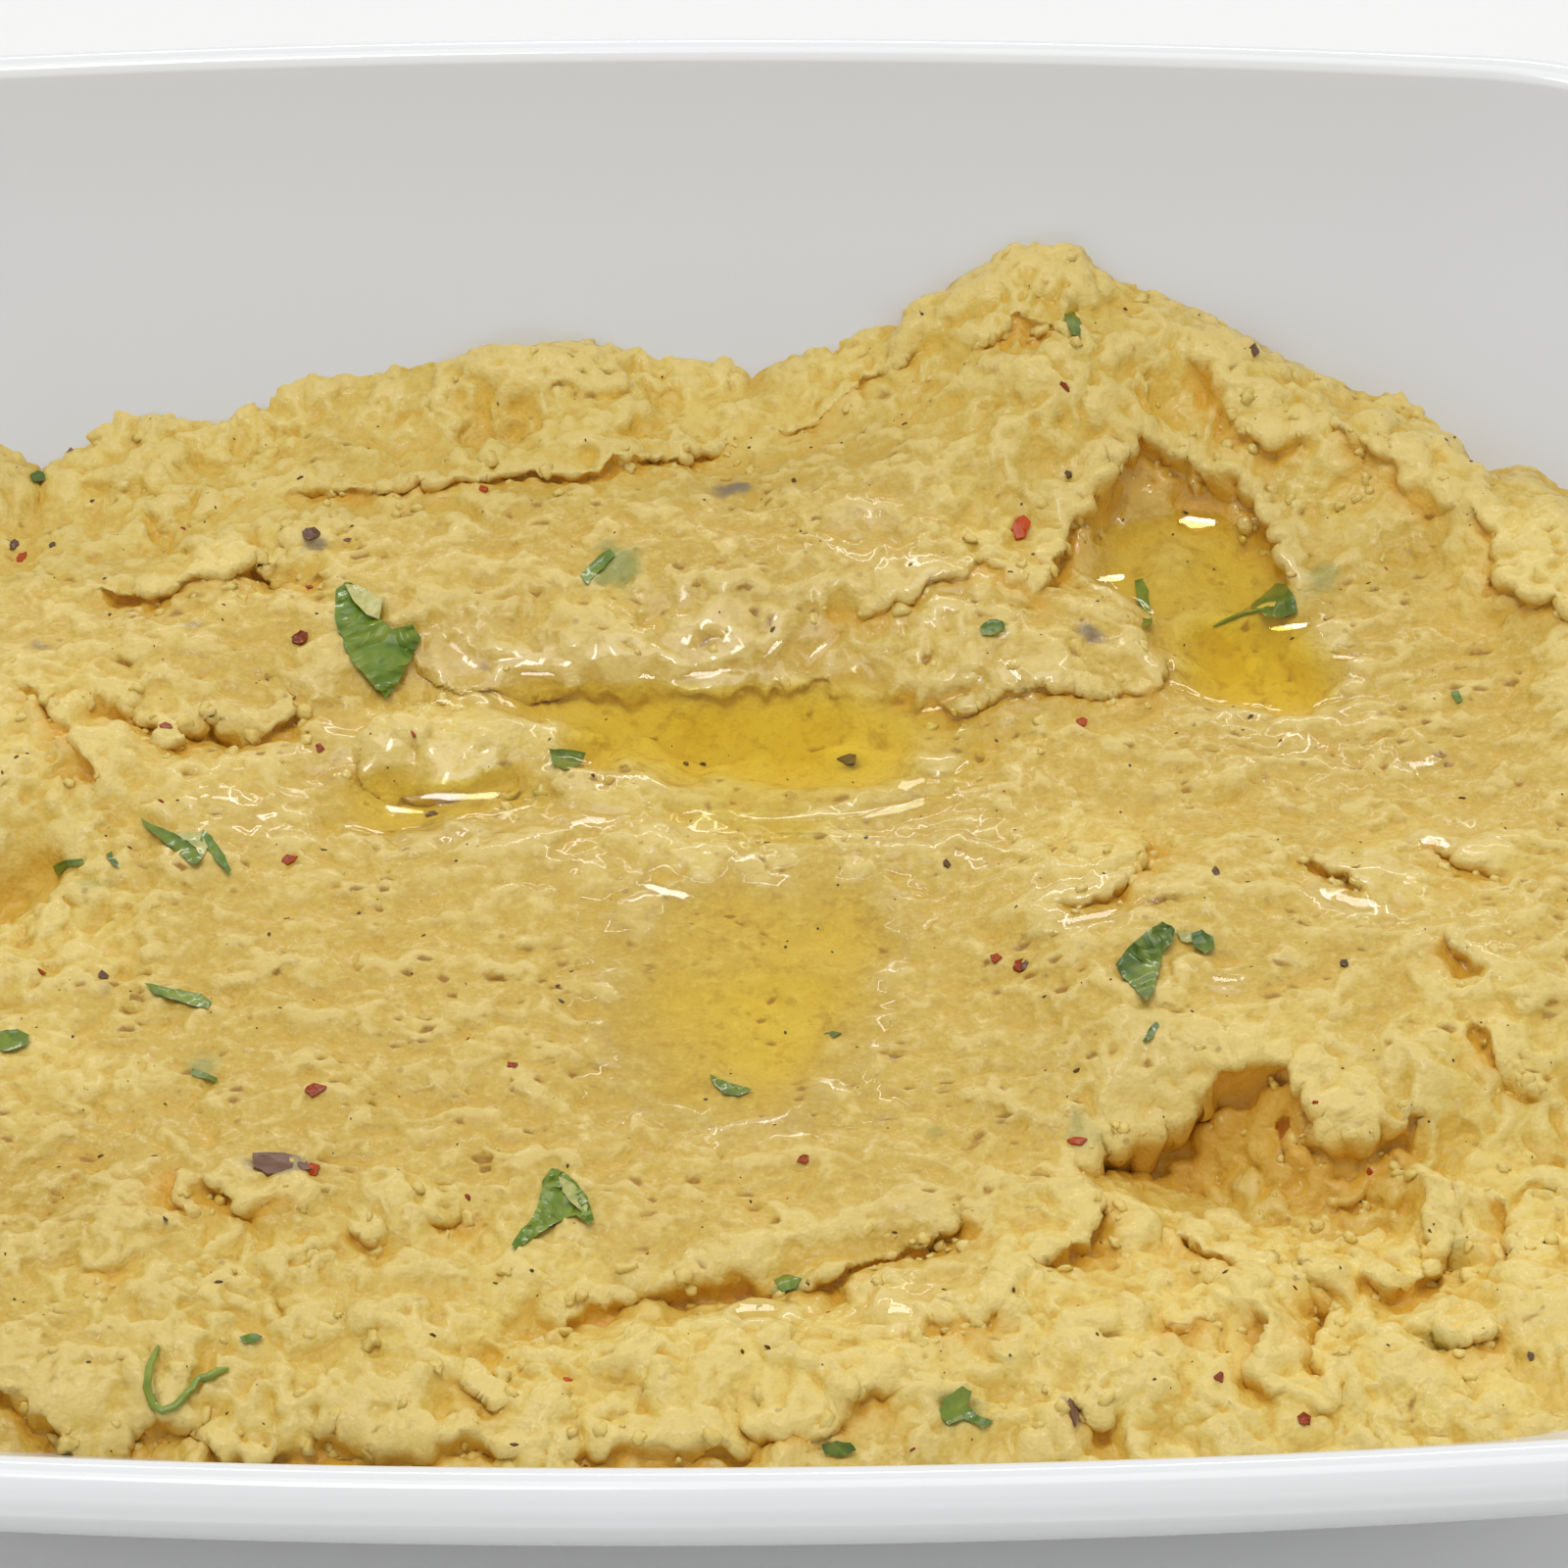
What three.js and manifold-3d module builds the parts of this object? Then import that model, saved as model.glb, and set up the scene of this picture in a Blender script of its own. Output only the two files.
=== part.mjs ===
// Hummus served in a white glazed dish, with olive oil standing in its hollows.
// Millimetres, +Z up. Origin: centre of the dish's footprint, on the table.
import * as THREE from 'three';
import * as BufferGeometryUtils from 'three/addons/utils/BufferGeometryUtils.js';
import Module from 'manifold-3d';

// ---------------------------------------------------------------- dish sizes
const DISH_HALF_X = 105;        // half width at the rim
const DISH_HALF_Y = 82.4;       // half depth at the rim
const DISH_HEIGHT = 52;         // table to top of rim
const RIM_RADIUS = 1.95;        // full-round rim bead
const WALL_BASE = 4.5;          // wall thickness low down
const FRONT_BOW = 807;          // bow radius of the long sides at the rim
const SIDE_BOW = 350;           // bow radius of the short sides at the rim
const CORNER = 34;              // plan corner radius at the rim
const FRONT_BOW_FALL = 12;      // the plan gets rounder towards the foot
const SIDE_BOW_FALL = 4;
const CORNER_FALL = 0.2;
const LEAN_TOP = 28;            // wall lean from vertical under the rim, degrees
const LEAN_MID = 42;            // lean of the straight middle of the wall
const CURVE_TOP = 70;           // radius of the upper curve of the wall
const WALL_STRAIGHT = 25;       // drop of the straight middle
const CURVE_FOOT = 24;          // radius where the wall turns into the floor
const FOOT_LEAN = 78;           // lean where the outside meets the foot ring
const FOOT_WIDTH = 4.5;         // flat underside of the foot ring
const FOOT_RECESS = 1.6;        // hollow inside the foot ring
const GAP = 0.35;               // gap between the dip and the glaze

// ---------------------------------------------------------------- dip sizes
const DIP_LEVEL = 28;           // mean level of the dip above the table
// broad swells and hollows: x, y, half width, half length, turn in degrees, rise
const SWELLS = [
  [-24, 60, 32, 6, 6, 4.6],     // ridge along the back wall, left
  [30, 64, 16, 11, -8, 10.8],   // heap against the back wall
  [33, 51, 17, 12, 0, 4.6],     // its spread foot
  [57, 53, 17, 5, -42, 4.6],    // curved crust, right back
  [71, 31, 5, 19, 8, 4.4],      // curved crust, right
  [-53, 17, 13, 5, -25, 3.2],   // left ridge
  [-54, 2, 5, 6, 0, -3.6],      // left pit
  [38, -28, 8, 2.8, 10, -2.6],  // hollow under the torn ledge
  [46, -46, 24, 8, -5, 2.2],    // front right slope
  [-38, -43, 16, 11, 20, 2.4],  // front left lumps
  [6, -52, 40, 6, 0, 2.0],      // front strip
  [4, -42, 22, 1.8, 8, -1.6],   // crevice behind the front strip
  [-62, 36, 14, 12, 0, -1.5],   // low left back
  [0, -68, 75, 7, 0, -3.0],     // falls away at the front wall
];
// spoon-swept terraces: x, y, half width, half length, turn, rise, edge width
const TERRACES = [
  [-8, 39, 31, 14, 4, 2.8, 4],  // back terrace above the oil
  [25, 27, 12, 8, -6, 1.6, 3],  // lobed plate beside it
  [50, -13, 25, 15, 12, 3.6, 4],// heap torn to a ledge, right middle
  [-52, 31, 14, 9, -6, 1.4, 3], // left plate
];
// hollows that hold oil: x, y, half width, half length, turn, fall, edge width
const BASINS = [
  [2, 18.5, 24, 6.5, -2, -3.6, 7],
  [47, 33, 12, 13, 20, -3.4, 8],
  [5, -10, 17, 16, 0, -2.6, 12],
];
const OIL_LEVELS = [26.9, 26.7, 27.2];
const OIL_NAMES = ['oil_trough', 'oil_right', 'oil_centre'];
const CURD = 0.5;               // height of the lumps left in the solid
const STRAY = 2.2;              // how far spoon marks wander from their plan

// ---------------------------------------------------------------- mesh sizes
const QUARTER_LONG = 7, QUARTER_CORNER = 7, QUARTER_SHORT = 4; // steps a quarter
const DIP_RINGS = 24, DIP_SIDE_STEPS = 5;
const OIL_RISE = 0.3;           // gap between oil and dip
const OIL_EDGE = 0.3;           // depth of oil at its shore
const OIL_SPOKES = 32, OIL_REACH = 40;

const rad = (d) => (d * Math.PI) / 180;

// -------------------------------------------------------------- plan outline
// Four bowed sides joined by tangent corner arcs, inset from the rim's edge.
function outline(inset) {
  const a = DISH_HALF_X - inset, b = DISH_HALF_Y - inset;
  const R1 = FRONT_BOW - FRONT_BOW_FALL * inset;
  const R2 = SIDE_BOW - SIDE_BOW_FALL * inset;
  const rc = CORNER - CORNER_FALL * inset;
  let cx = a - rc, cy = b - rc;
  for (let i = 0; i < 60; i++) {
    cy = (b - R1) + Math.sqrt((R1 - rc) ** 2 - cx * cx);
    cx = (a - R2) + Math.sqrt((R2 - rc) ** 2 - cy * cy);
  }
  const t1 = Math.atan2(cx, cy - (b - R1));
  const t2 = Math.atan2(cy, cx - (a - R2));
  const q = [];
  for (let i = 0; i < QUARTER_LONG; i++) {
    const t = (t1 * i) / QUARTER_LONG;
    q.push([R1 * Math.sin(t), b - R1 + R1 * Math.cos(t)]);
  }
  for (let i = 0; i < QUARTER_CORNER; i++) {
    const t = t1 + ((Math.PI / 2 - t2 - t1) * i) / QUARTER_CORNER;
    q.push([cx + rc * Math.sin(t), cy + rc * Math.cos(t)]);
  }
  for (let i = 0; i < QUARTER_SHORT; i++) {
    const t = t2 * (1 - i / QUARTER_SHORT);
    q.push([a - R2 + R2 * Math.cos(t), R2 * Math.sin(t)]);
  }
  const ring = [...q];
  ring.push([a, 0]);
  for (let i = q.length - 1; i > 0; i--) ring.push([q[i][0], -q[i][1]]);
  ring.push([0, -b]);
  for (let i = 1; i < q.length; i++) ring.push([-q[i][0], -q[i][1]]);
  ring.push([-a, 0]);
  for (let i = q.length - 1; i > 0; i--) ring.push([-q[i][0], q[i][1]]);
  return ring.reverse(); // anticlockwise seen from above
}

// ------------------------------------------------------------- wall section
// Points of the outside from the rim down to the foot: inset, z and lean.
function wallSection(steps) {
  const pts = [];
  let inset = RIM_RADIUS * (1 - Math.cos(rad(LEAN_TOP)));
  let z = DISH_HEIGHT - RIM_RADIUS - RIM_RADIUS * Math.sin(rad(LEAN_TOP));
  const arc = (from, to, radius, n) => {
    const i0 = inset, z0 = z;
    for (let i = 1; i <= n; i++) {
      const p = rad(from + ((to - from) * i) / n);
      inset = i0 + radius * (Math.cos(rad(from)) - Math.cos(p));
      z = z0 - radius * (Math.sin(p) - Math.sin(rad(from)));
      pts.push({ inset, z, lean: from + ((to - from) * i) / n });
    }
  };
  pts.push({ inset, z, lean: LEAN_TOP });
  arc(LEAN_TOP, LEAN_MID, CURVE_TOP, steps);
  inset += WALL_STRAIGHT * Math.tan(rad(LEAN_MID));
  z -= WALL_STRAIGHT;
  pts.push({ inset, z, lean: LEAN_MID });
  arc(LEAN_MID, 90, CURVE_FOOT, steps * 2);
  return pts;
}
// Inside of the wall: the outside moved in by the wall's thickness.
function insideSection(steps, extra) {
  return wallSection(steps).map(({ inset, z, lean }) => {
    const k = (lean - LEAN_TOP) / (90 - LEAN_TOP);
    const t = 2 * RIM_RADIUS * (1 - k) + WALL_BASE * k + extra;
    return { inset: inset + t * Math.cos(rad(lean)), z: z + t * Math.sin(rad(lean)) };
  });
}

// ------------------------------------------------------------ mesh helpers
// Closed skin over stacked rings, with a centre point at each end.
function skin(rings, first, last) {
  const pos = [], idx = [], n = rings[0].length;
  pos.push(...first);
  for (const r of rings) for (const p of r) pos.push(...p);
  pos.push(...last);
  const end = 1 + rings.length * n;
  for (let j = 0; j < n; j++) {
    const k = (j + 1) % n;
    idx.push(0, 1 + k, 1 + j);
    for (let i = 0; i + 1 < rings.length; i++) {
      const a = 1 + i * n + j, b = 1 + i * n + k, c = a + n, d = b + n;
      idx.push(a, b, d, a, d, c);
    }
    idx.push(end, end - n + j, end - n + k);
  }
  const g = new THREE.BufferGeometry();
  g.setAttribute('position', new THREE.Float32BufferAttribute(pos, 3));
  g.setIndex(idx);
  return g;
}
const ringAt = (inset, z) => outline(inset).map(([x, y]) => [x, y, z]);

// ------------------------------------------------------------------- dish
function dishGeometry() {
  const rings = [];
  const out = wallSection(3).filter((p) => p.lean <= FOOT_LEAN);
  const foot = out[out.length - 1];
  const fx = foot.inset + 0.9;
  rings.push(ringAt(fx + FOOT_WIDTH + 0.8, FOOT_RECESS));
  rings.push(ringAt(fx + FOOT_WIDTH, 0));
  rings.push(ringAt(fx, 0));
  for (const p of out.reverse()) rings.push(ringAt(p.inset, p.z));
  const zc = DISH_HEIGHT - RIM_RADIUS;
  for (let i = 1; i < 6; i++) {
    const p = rad(180 + LEAN_TOP - (180 * i) / 6);
    rings.push(ringAt(RIM_RADIUS + RIM_RADIUS * Math.cos(p), zc + RIM_RADIUS * Math.sin(p)));
  }
  const ins = insideSection(3, 0);
  for (const p of ins) rings.push(ringAt(p.inset, p.z));
  const floor = ins[ins.length - 1].z;
  return skin(rings, [0, 0, FOOT_RECESS], [0, 0, floor]);
}

// -------------------------------------------------------------------- dip
// uneven lumps: waves in turned directions, with wander
function wave(x, y) {
  let z = 0;
  for (let i = 0; i < 7; i++) {
    const t = 2.4 * i + 0.4, k = 0.33 + 0.11 * i;
    const u = x * Math.cos(t) + y * Math.sin(t), v = -x * Math.sin(t) + y * Math.cos(t);
    z += Math.sin(k * u + 1.9 * Math.sin(0.19 * v + i) + 1.7 * i) * Math.cos(0.6 * k * v + i * i);
  }
  return z / 2;
}
function local(x, y, [cx, cy, rx, ry, deg]) {
  const c = Math.cos(rad(deg)), s = Math.sin(rad(deg)), dx = x - cx, dy = y - cy;
  return [(dx * c + dy * s) / rx, (-dx * s + dy * c) / ry];
}
function plateau(x, y, f) {
  const [u, v] = local(x, y, f);
  const r = Math.pow(Math.abs(u) ** 2.8 + Math.abs(v) ** 2.8, 1 / 2.8);
  const edge = f[6] / Math.min(f[2], f[3]);
  const t = Math.min(1, Math.max(0, (1 + edge / 2 - r) / edge));
  return f[5] * t * t * (3 - 2 * t);
}
function relief(px, py) {
  const x = px + STRAY * Math.sin(0.13 * py + 0.9) + 0.5 * STRAY * Math.sin(0.31 * px + 0.17 * py);
  const y = py + 0.8 * STRAY * Math.sin(0.11 * px + 2.1) + 0.5 * STRAY * Math.sin(0.27 * py - 0.21 * px);
  let z = DIP_LEVEL;
  for (const f of SWELLS) {
    const [u, v] = local(x, y, f);
    z += f[5] * Math.exp(-0.5 * (u * u + v * v) * 1.6);
  }
  for (const f of TERRACES) z += plateau(x, y, f);
  let calm = 1;
  for (const f of BASINS) {
    const d = plateau(x, y, f);
    z += d;
    calm = Math.min(calm, 1 + d / Math.abs(f[5]));
  }
  return z + CURD * calm * wave(px, py);
}
function dipGeometry() {
  const ins = insideSection(6, GAP).reverse(); // floor to rim
  const floor = ins[0];
  const loops = ins.map((p) => outline(p.inset));
  const n = loops[0].length;
  const at = (s, j) => { // point on the glaze, s counted in section steps
    const i = Math.min(ins.length - 2, Math.floor(s)), k = s - i;
    return [0, 1].map((c) => loops[i][j][c] * (1 - k) + loops[i + 1][j][c] * k)
      .concat(ins[i].z * (1 - k) + ins[i + 1].z * k);
  };
  const top = []; // where the dip meets the glaze
  for (let j = 0; j < n; j++) {
    let lo = 0, hi = ins.length - 1;
    for (let i = 0; i < 40; i++) {
      const m = (lo + hi) / 2, p = at(m, j);
      if (p[2] < relief(p[0], p[1])) lo = m; else hi = m;
    }
    top.push(lo);
  }
  const rings = [];
  for (let i = 0; i <= DIP_SIDE_STEPS; i++) {
    rings.push(top.map((s, j) => at((s * i) / DIP_SIDE_STEPS, j)));
  }
  const rimRing = rings[rings.length - 1];
  for (let i = 1; i < DIP_RINGS; i++) {
    const f = 1 - i / DIP_RINGS;
    rings.push(rimRing.map(([x, y]) => [x * f, y * f, relief(x * f, y * f)]));
  }
  return skin(rings, [0, 0, floor.z], [0, 0, relief(0, 0)]);
}

// -------------------------------------------------------------------- oil
const wasm = await Module();
wasm.setup();
function toSolid(g) {
  let m = g.clone();
  m.deleteAttribute('normal');
  m.deleteAttribute('uv');
  m = BufferGeometryUtils.mergeVertices(m, 1e-4);
  return new wasm.Manifold(new wasm.Mesh({
    numProp: 3,
    vertProperties: new Float32Array(m.attributes.position.array),
    triVerts: new Uint32Array(m.index.array),
  }));
}
// The largest body of a mesh, joined edge to edge, so that only the pool is kept.
function largestBody({ vertProperties, triVerts, numProp }) {
  const count = triVerts.length / 3;
  const up = Array.from({ length: count }, (_, i) => i);
  const find = (i) => { while (up[i] !== i) { up[i] = up[up[i]]; i = up[i]; } return i; };
  const edges = new Map();
  for (let t = 0; t < count; t++) {
    for (let k = 0; k < 3; k++) {
      const i = triVerts[3 * t + k], j = triVerts[3 * t + ((k + 1) % 3)];
      const key = i < j ? `${i}_${j}` : `${j}_${i}`;
      if (edges.has(key)) up[find(t)] = find(edges.get(key)); else edges.set(key, t);
    }
  }
  const vol = new Map();
  const P = (i) => new THREE.Vector3(...vertProperties.slice(i * numProp, i * numProp + 3));
  for (let t = 0; t < count; t++) {
    const [a, b, c] = [0, 1, 2].map((k) => P(triVerts[3 * t + k]));
    vol.set(find(t), (vol.get(find(t)) || 0) + a.dot(b.cross(c)) / 6);
  }
  const best = [...vol].sort((p, q) => q[1] - p[1])[0][0];
  const pos = [], idx = [], map = new Map();
  for (let t = 0; t < count; t++) {
    if (find(t) !== best) continue;
    for (let k = 0; k < 3; k++) {
      const v = triVerts[3 * t + k];
      if (!map.has(v)) { map.set(v, map.size); pos.push(...P(v).toArray()); }
      idx.push(map.get(v));
    }
  }
  const g = new THREE.BufferGeometry();
  g.setAttribute('position', new THREE.Float32BufferAttribute(pos, 3));
  g.setIndex(idx);
  return g;
}
// A pool reaches out from its middle until it is only OIL_EDGE deep.
function oilGeometry(dip, basin, level) {
  const [cx, cy] = basin;
  const shore = [];
  for (let i = 0; i < OIL_SPOKES; i++) {
    const t = (2 * Math.PI * i) / OIL_SPOKES;
    let r = 0.5;
    while (r < OIL_REACH && relief(cx + r * Math.cos(t), cy + r * Math.sin(t)) < level - OIL_RISE - OIL_EDGE) r += 0.05;
    shore.push(r);
  }
  const even = shore.map((r, i) => Math.min(r, (shore[(i + 1) % OIL_SPOKES] + shore[(i + OIL_SPOKES - 1) % OIL_SPOKES]) / 2 + 0.8));
  const shape = new THREE.Shape(even.map((r, i) => {
    const t = (2 * Math.PI * i) / OIL_SPOKES;
    return new THREE.Vector2(cx + r * Math.cos(t), cy + r * Math.sin(t));
  }));
  const slab = new THREE.ExtrudeGeometry(shape, { depth: 8, bevelEnabled: false });
  slab.translate(0, 0, level - 8);
  const raised = dip.clone();
  raised.translate(0, 0, OIL_RISE);
  return largestBody(toSolid(slab).subtract(toSolid(raised)).getMesh());
}

// ------------------------------------------------------------------ object
const part = new THREE.Group();
function add(name, geometry, color, roughness) {
  geometry.computeVertexNormals();
  const mesh = new THREE.Mesh(geometry, new THREE.MeshStandardMaterial({ color, roughness, metalness: 0 }));
  mesh.name = name;
  part.add(mesh);
}
const dip = dipGeometry();
add('dish', dishGeometry(), 0xe9eaea, 0.15);
add('hummus', dip, 0xdfc07a, 0.55);
BASINS.forEach((b, i) => add(OIL_NAMES[i], oilGeometry(dip, b, OIL_LEVELS[i]), 0xd9b62c, 0.05));

export default part;
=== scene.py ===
# Hummus in a white glazed dish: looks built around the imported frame, in metres.
import bpy, bmesh, math
import numpy as np
from mathutils import Vector, Matrix
from mathutils.bvhtree import BVHTree


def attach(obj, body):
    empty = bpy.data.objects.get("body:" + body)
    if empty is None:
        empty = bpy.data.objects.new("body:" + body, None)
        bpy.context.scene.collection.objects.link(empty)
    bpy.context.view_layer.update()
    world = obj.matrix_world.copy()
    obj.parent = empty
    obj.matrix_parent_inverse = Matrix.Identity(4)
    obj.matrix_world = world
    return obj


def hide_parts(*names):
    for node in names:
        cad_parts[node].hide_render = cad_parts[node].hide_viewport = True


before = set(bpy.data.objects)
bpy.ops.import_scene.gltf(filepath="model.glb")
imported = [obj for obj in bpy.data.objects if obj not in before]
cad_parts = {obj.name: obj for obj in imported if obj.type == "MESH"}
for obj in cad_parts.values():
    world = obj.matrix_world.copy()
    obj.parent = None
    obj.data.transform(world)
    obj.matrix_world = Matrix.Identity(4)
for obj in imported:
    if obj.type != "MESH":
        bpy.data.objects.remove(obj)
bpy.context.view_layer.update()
MM = 0.001
np.seterr(over="ignore")

# ------------------------------------------------------------------ camera
FOV, ELEV, ROLL = 18.0, 43.0, -0.17
AIM = np.array([7.64, -13.10, 50.05])
DIST = 58.24 / math.tan(math.radians(FOV / 2))


def camera_axes():
    e, r = math.radians(ELEV), math.radians(ROLL)
    back = np.array([0.0, -math.cos(e), math.sin(e)])
    right = np.array([1.0, 0.0, 0.0])
    up = np.cross(right, -back)
    return (AIM + back * DIST, math.cos(r) * right + math.sin(r) * up,
            -math.sin(r) * right + math.cos(r) * up, -back)


POS, RIGHT, UP, FWD = camera_axes()
FOCAL = 800 / math.tan(math.radians(FOV / 2))


def sight(u, v):
    d = FWD * FOCAL + RIGHT * (u - 800) + UP * (800 - v)
    return d / np.linalg.norm(d)


def plan(u, v, z):
    """Where the sight line of a 1600-frame pixel meets the level z."""
    d = sight(u, v)
    return (POS + d * ((z - POS[2]) / d[2]))[:2]


# -------------------------------------------------------------------- noise
def rnd(ix, iy, seed):
    h = (ix.astype(np.int64) * 374761393 + iy.astype(np.int64) * 668265263 + seed * 974634777) & 0xFFFFFFFF
    h = ((h ^ (h >> 13)) * 1274126177) & 0xFFFFFFFF
    h = ((h ^ (h >> 15)) * 2246822519) & 0xFFFFFFFF
    return ((h ^ (h >> 16)) & 0xFFFFFF) / float(0x1000000)


def noise(x, y, size, seed=0):
    """Gradient noise, about -1 to 1, with features of that size."""
    x, y = x / size, y / size
    ix, iy = np.floor(x), np.floor(y)
    fx, fy = x - ix, y - iy
    ux, uy = fx**3 * (fx * (fx * 6 - 15) + 10), fy**3 * (fy * (fy * 6 - 15) + 10)

    def g(a, b):
        t = rnd(ix + a, iy + b, seed) * 2 * np.pi
        return np.cos(t) * (fx - a) + np.sin(t) * (fy - b)

    top = g(0, 0) * (1 - ux) + g(1, 0) * ux
    low = g(0, 1) * (1 - ux) + g(1, 1) * ux
    return 1.5 * (top * (1 - uy) + low * uy)


def fbm(x, y, size, seed=0, octaves=3, gain=0.5):
    z, a = 0, 1.0
    for i in range(octaves):
        z = z + a * noise(x, y, size / 2**i, seed + 17 * i)
        a *= gain
    return z


def cells(x, y, size, seed=0):
    """Distances to the nearest and second nearest of scattered points, over size."""
    x, y = x / size, y / size
    ix, iy = np.floor(x), np.floor(y)
    f1 = np.full(x.shape, 9.0)
    f2 = np.full(x.shape, 9.0)
    who = np.zeros(x.shape)
    for a in (-1, 0, 1):
        for b in (-1, 0, 1):
            px = ix + a + 0.1 + 0.8 * rnd(ix + a, iy + b, seed)
            py = iy + b + 0.1 + 0.8 * rnd(ix + a, iy + b, seed + 5)
            d = np.hypot(px - x, py - y)
            nearer = d < f1
            f2 = np.where(nearer, f1, np.minimum(f2, d))
            who = np.where(nearer, rnd(ix + a, iy + b, seed + 9), who)
            f1 = np.where(nearer, d, f1)
    return f1, f2, who


def rnd3(ix, iy, iz, seed):
    h = (ix.astype(np.int64) * 374761393 + iy.astype(np.int64) * 668265263 + iz.astype(np.int64) * 1440662683 + seed * 974634777) & 0xFFFFFFFF
    h = ((h ^ (h >> 13)) * 1274126177) & 0xFFFFFFFF
    h = ((h ^ (h >> 15)) * 2246822519) & 0xFFFFFFFF
    return (h ^ (h >> 16)) & 0xFFFFFF


def cells3(p, size, seed=0):
    """Distance to the nearest of points scattered in space, over size, and a number of its own."""
    p = p / size
    i = np.floor(p)
    f1, who = np.full(len(p), 9.0), np.zeros(len(p))
    for a in (-1, 0, 1):
        for b in (-1, 0, 1):
            for c in (-1, 0, 1):
                q = i + (a, b, c)
                h = rnd3(q[:, 0], q[:, 1], q[:, 2], seed)
                j = np.stack([h & 255, (h >> 8) & 255, (h >> 16) & 255], 1) / 255.0
                d = np.sqrt(((q + 0.1 + 0.8 * j - p) ** 2).sum(1))
                near = d < f1
                who = np.where(near, (h & 1023) / 1023.0, who)
                f1 = np.where(near, d, f1)
    return f1, who


def noise3(p, size, seed=0):
    """Value noise in space, -1 to 1."""
    p = p / size
    i = np.floor(p)
    f = p - i
    f = f * f * (3 - 2 * f)
    z = np.zeros(len(p))
    for a in (0, 1):
        for b in (0, 1):
            for c in (0, 1):
                w = (f[:, 0] if a else 1 - f[:, 0]) * (f[:, 1] if b else 1 - f[:, 1]) * (f[:, 2] if c else 1 - f[:, 2])
                z += w * rnd3(i[:, 0] + a, i[:, 1] + b, i[:, 2] + c, seed)
    return z / 0x800000 - 1


def smooth(a, b, x):
    t = np.clip((x - a) / (b - a), 0, 1)
    return t * t * (3 - 2 * t)


def blur(z, n):
    """Three box blurs of half width n cells, edges held."""
    for axis in (0, 1):
        for _ in range(3):
            pad = [(n + 1, n) if k == axis else (0, 0) for k in (0, 1)]
            c = np.cumsum(np.pad(z, pad, mode="edge"), axis=axis)
            hi = np.take(c, range(2 * n + 1, c.shape[axis]), axis=axis)
            lo = np.take(c, range(0, c.shape[axis] - 2 * n - 1), axis=axis)
            z = (hi - lo) / (2 * n + 1)
    return z


# ------------------------------------------------------- dish, as in the CAD
HALF_X, HALF_Y, HEIGHT, BEAD = 105.0, 82.4, 52.0, 1.95
LEAN_TOP, LEAN_MID, CURVE_TOP, STRAIGHT, CURVE_FOOT, WALL_BASE = 28.0, 42.0, 70.0, 25.0, 24.0, 4.5
FOOT_LEAN, FOOT_WIDTH, FOOT_RECESS = 74.0, 4.5, 1.6


def plan_sizes(i):
    a, b = HALF_X - i, HALF_Y - i
    r1, r2, rc = 807 - 12 * i, 350 - 4 * i, 34 - 0.2 * i
    cx, cy = a - rc, b - rc
    for _ in range(60):
        cy = (b - r1) + math.sqrt((r1 - rc) ** 2 - cx * cx)
        cx = (a - r2) + math.sqrt((r2 - rc) ** 2 - cy * cy)
    return a, b, r1, r2, rc, cx, cy


def outline(i, nl, nc, ns):
    a, b, r1, r2, rc, cx, cy = plan_sizes(i)
    t1, t2 = math.atan2(cx, cy - (b - r1)), math.atan2(cy, cx - (a - r2))
    q = [(r1 * math.sin(t1 * k / nl), b - r1 + r1 * math.cos(t1 * k / nl)) for k in range(nl)]
    for k in range(nc):
        t = t1 + (math.pi / 2 - t2 - t1) * k / nc
        q.append((cx + rc * math.sin(t), cy + rc * math.cos(t)))
    for k in range(ns):
        t = t2 * (1 - k / ns)
        q.append((a - r2 + r2 * math.cos(t), r2 * math.sin(t)))
    ring = list(q) + [(a, 0.0)]
    ring += [(x, -y) for x, y in reversed(q[1:])] + [(0.0, -b)]
    ring += [(-x, -y) for x, y in q[1:]] + [(-a, 0.0)]
    ring += [(-x, y) for x, y in reversed(q[1:])]
    return np.array(ring[::-1])


def wall_section(steps):
    """Outside of the wall from the rim down: inset, z, lean."""
    c, s = lambda d: math.cos(math.radians(d)), lambda d: math.sin(math.radians(d))
    out = []
    i0, z0 = BEAD * (1 - c(LEAN_TOP)), HEIGHT - BEAD - BEAD * s(LEAN_TOP)
    for k in range(steps + 1):
        p = LEAN_TOP + (LEAN_MID - LEAN_TOP) * k / steps
        out.append((i0 + CURVE_TOP * (c(LEAN_TOP) - c(p)), z0 - CURVE_TOP * (s(p) - s(LEAN_TOP)), p))
    i0, z0, _ = out[-1]
    for k in range(1, steps + 1):
        h = STRAIGHT * k / steps
        out.append((i0 + h * math.tan(math.radians(LEAN_MID)), z0 - h, LEAN_MID))
    i0, z0, _ = out[-1]
    for k in range(1, 2 * steps + 1):
        p = LEAN_MID + (90 - LEAN_MID) * k / (2 * steps)
        out.append((i0 + CURVE_FOOT * (c(LEAN_MID) - c(p)), z0 - CURVE_FOOT * (s(p) - s(LEAN_MID)), p))
    return out


def inside_section(steps):
    pts = []
    for i, z, p in wall_section(steps):
        k = (p - LEAN_TOP) / (90 - LEAN_TOP)
        t = 2 * BEAD * (1 - k) + WALL_BASE * k
        pts.append((i + t * math.cos(math.radians(p)), z + t * math.sin(math.radians(p))))
    return pts


INSIDE = np.array(inside_section(40))
FLOOR = float(INSIDE[-1, 1])
_I = np.linspace(0, 56, 113)
_SIZES = np.array([plan_sizes(float(i)) for i in _I])


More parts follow.
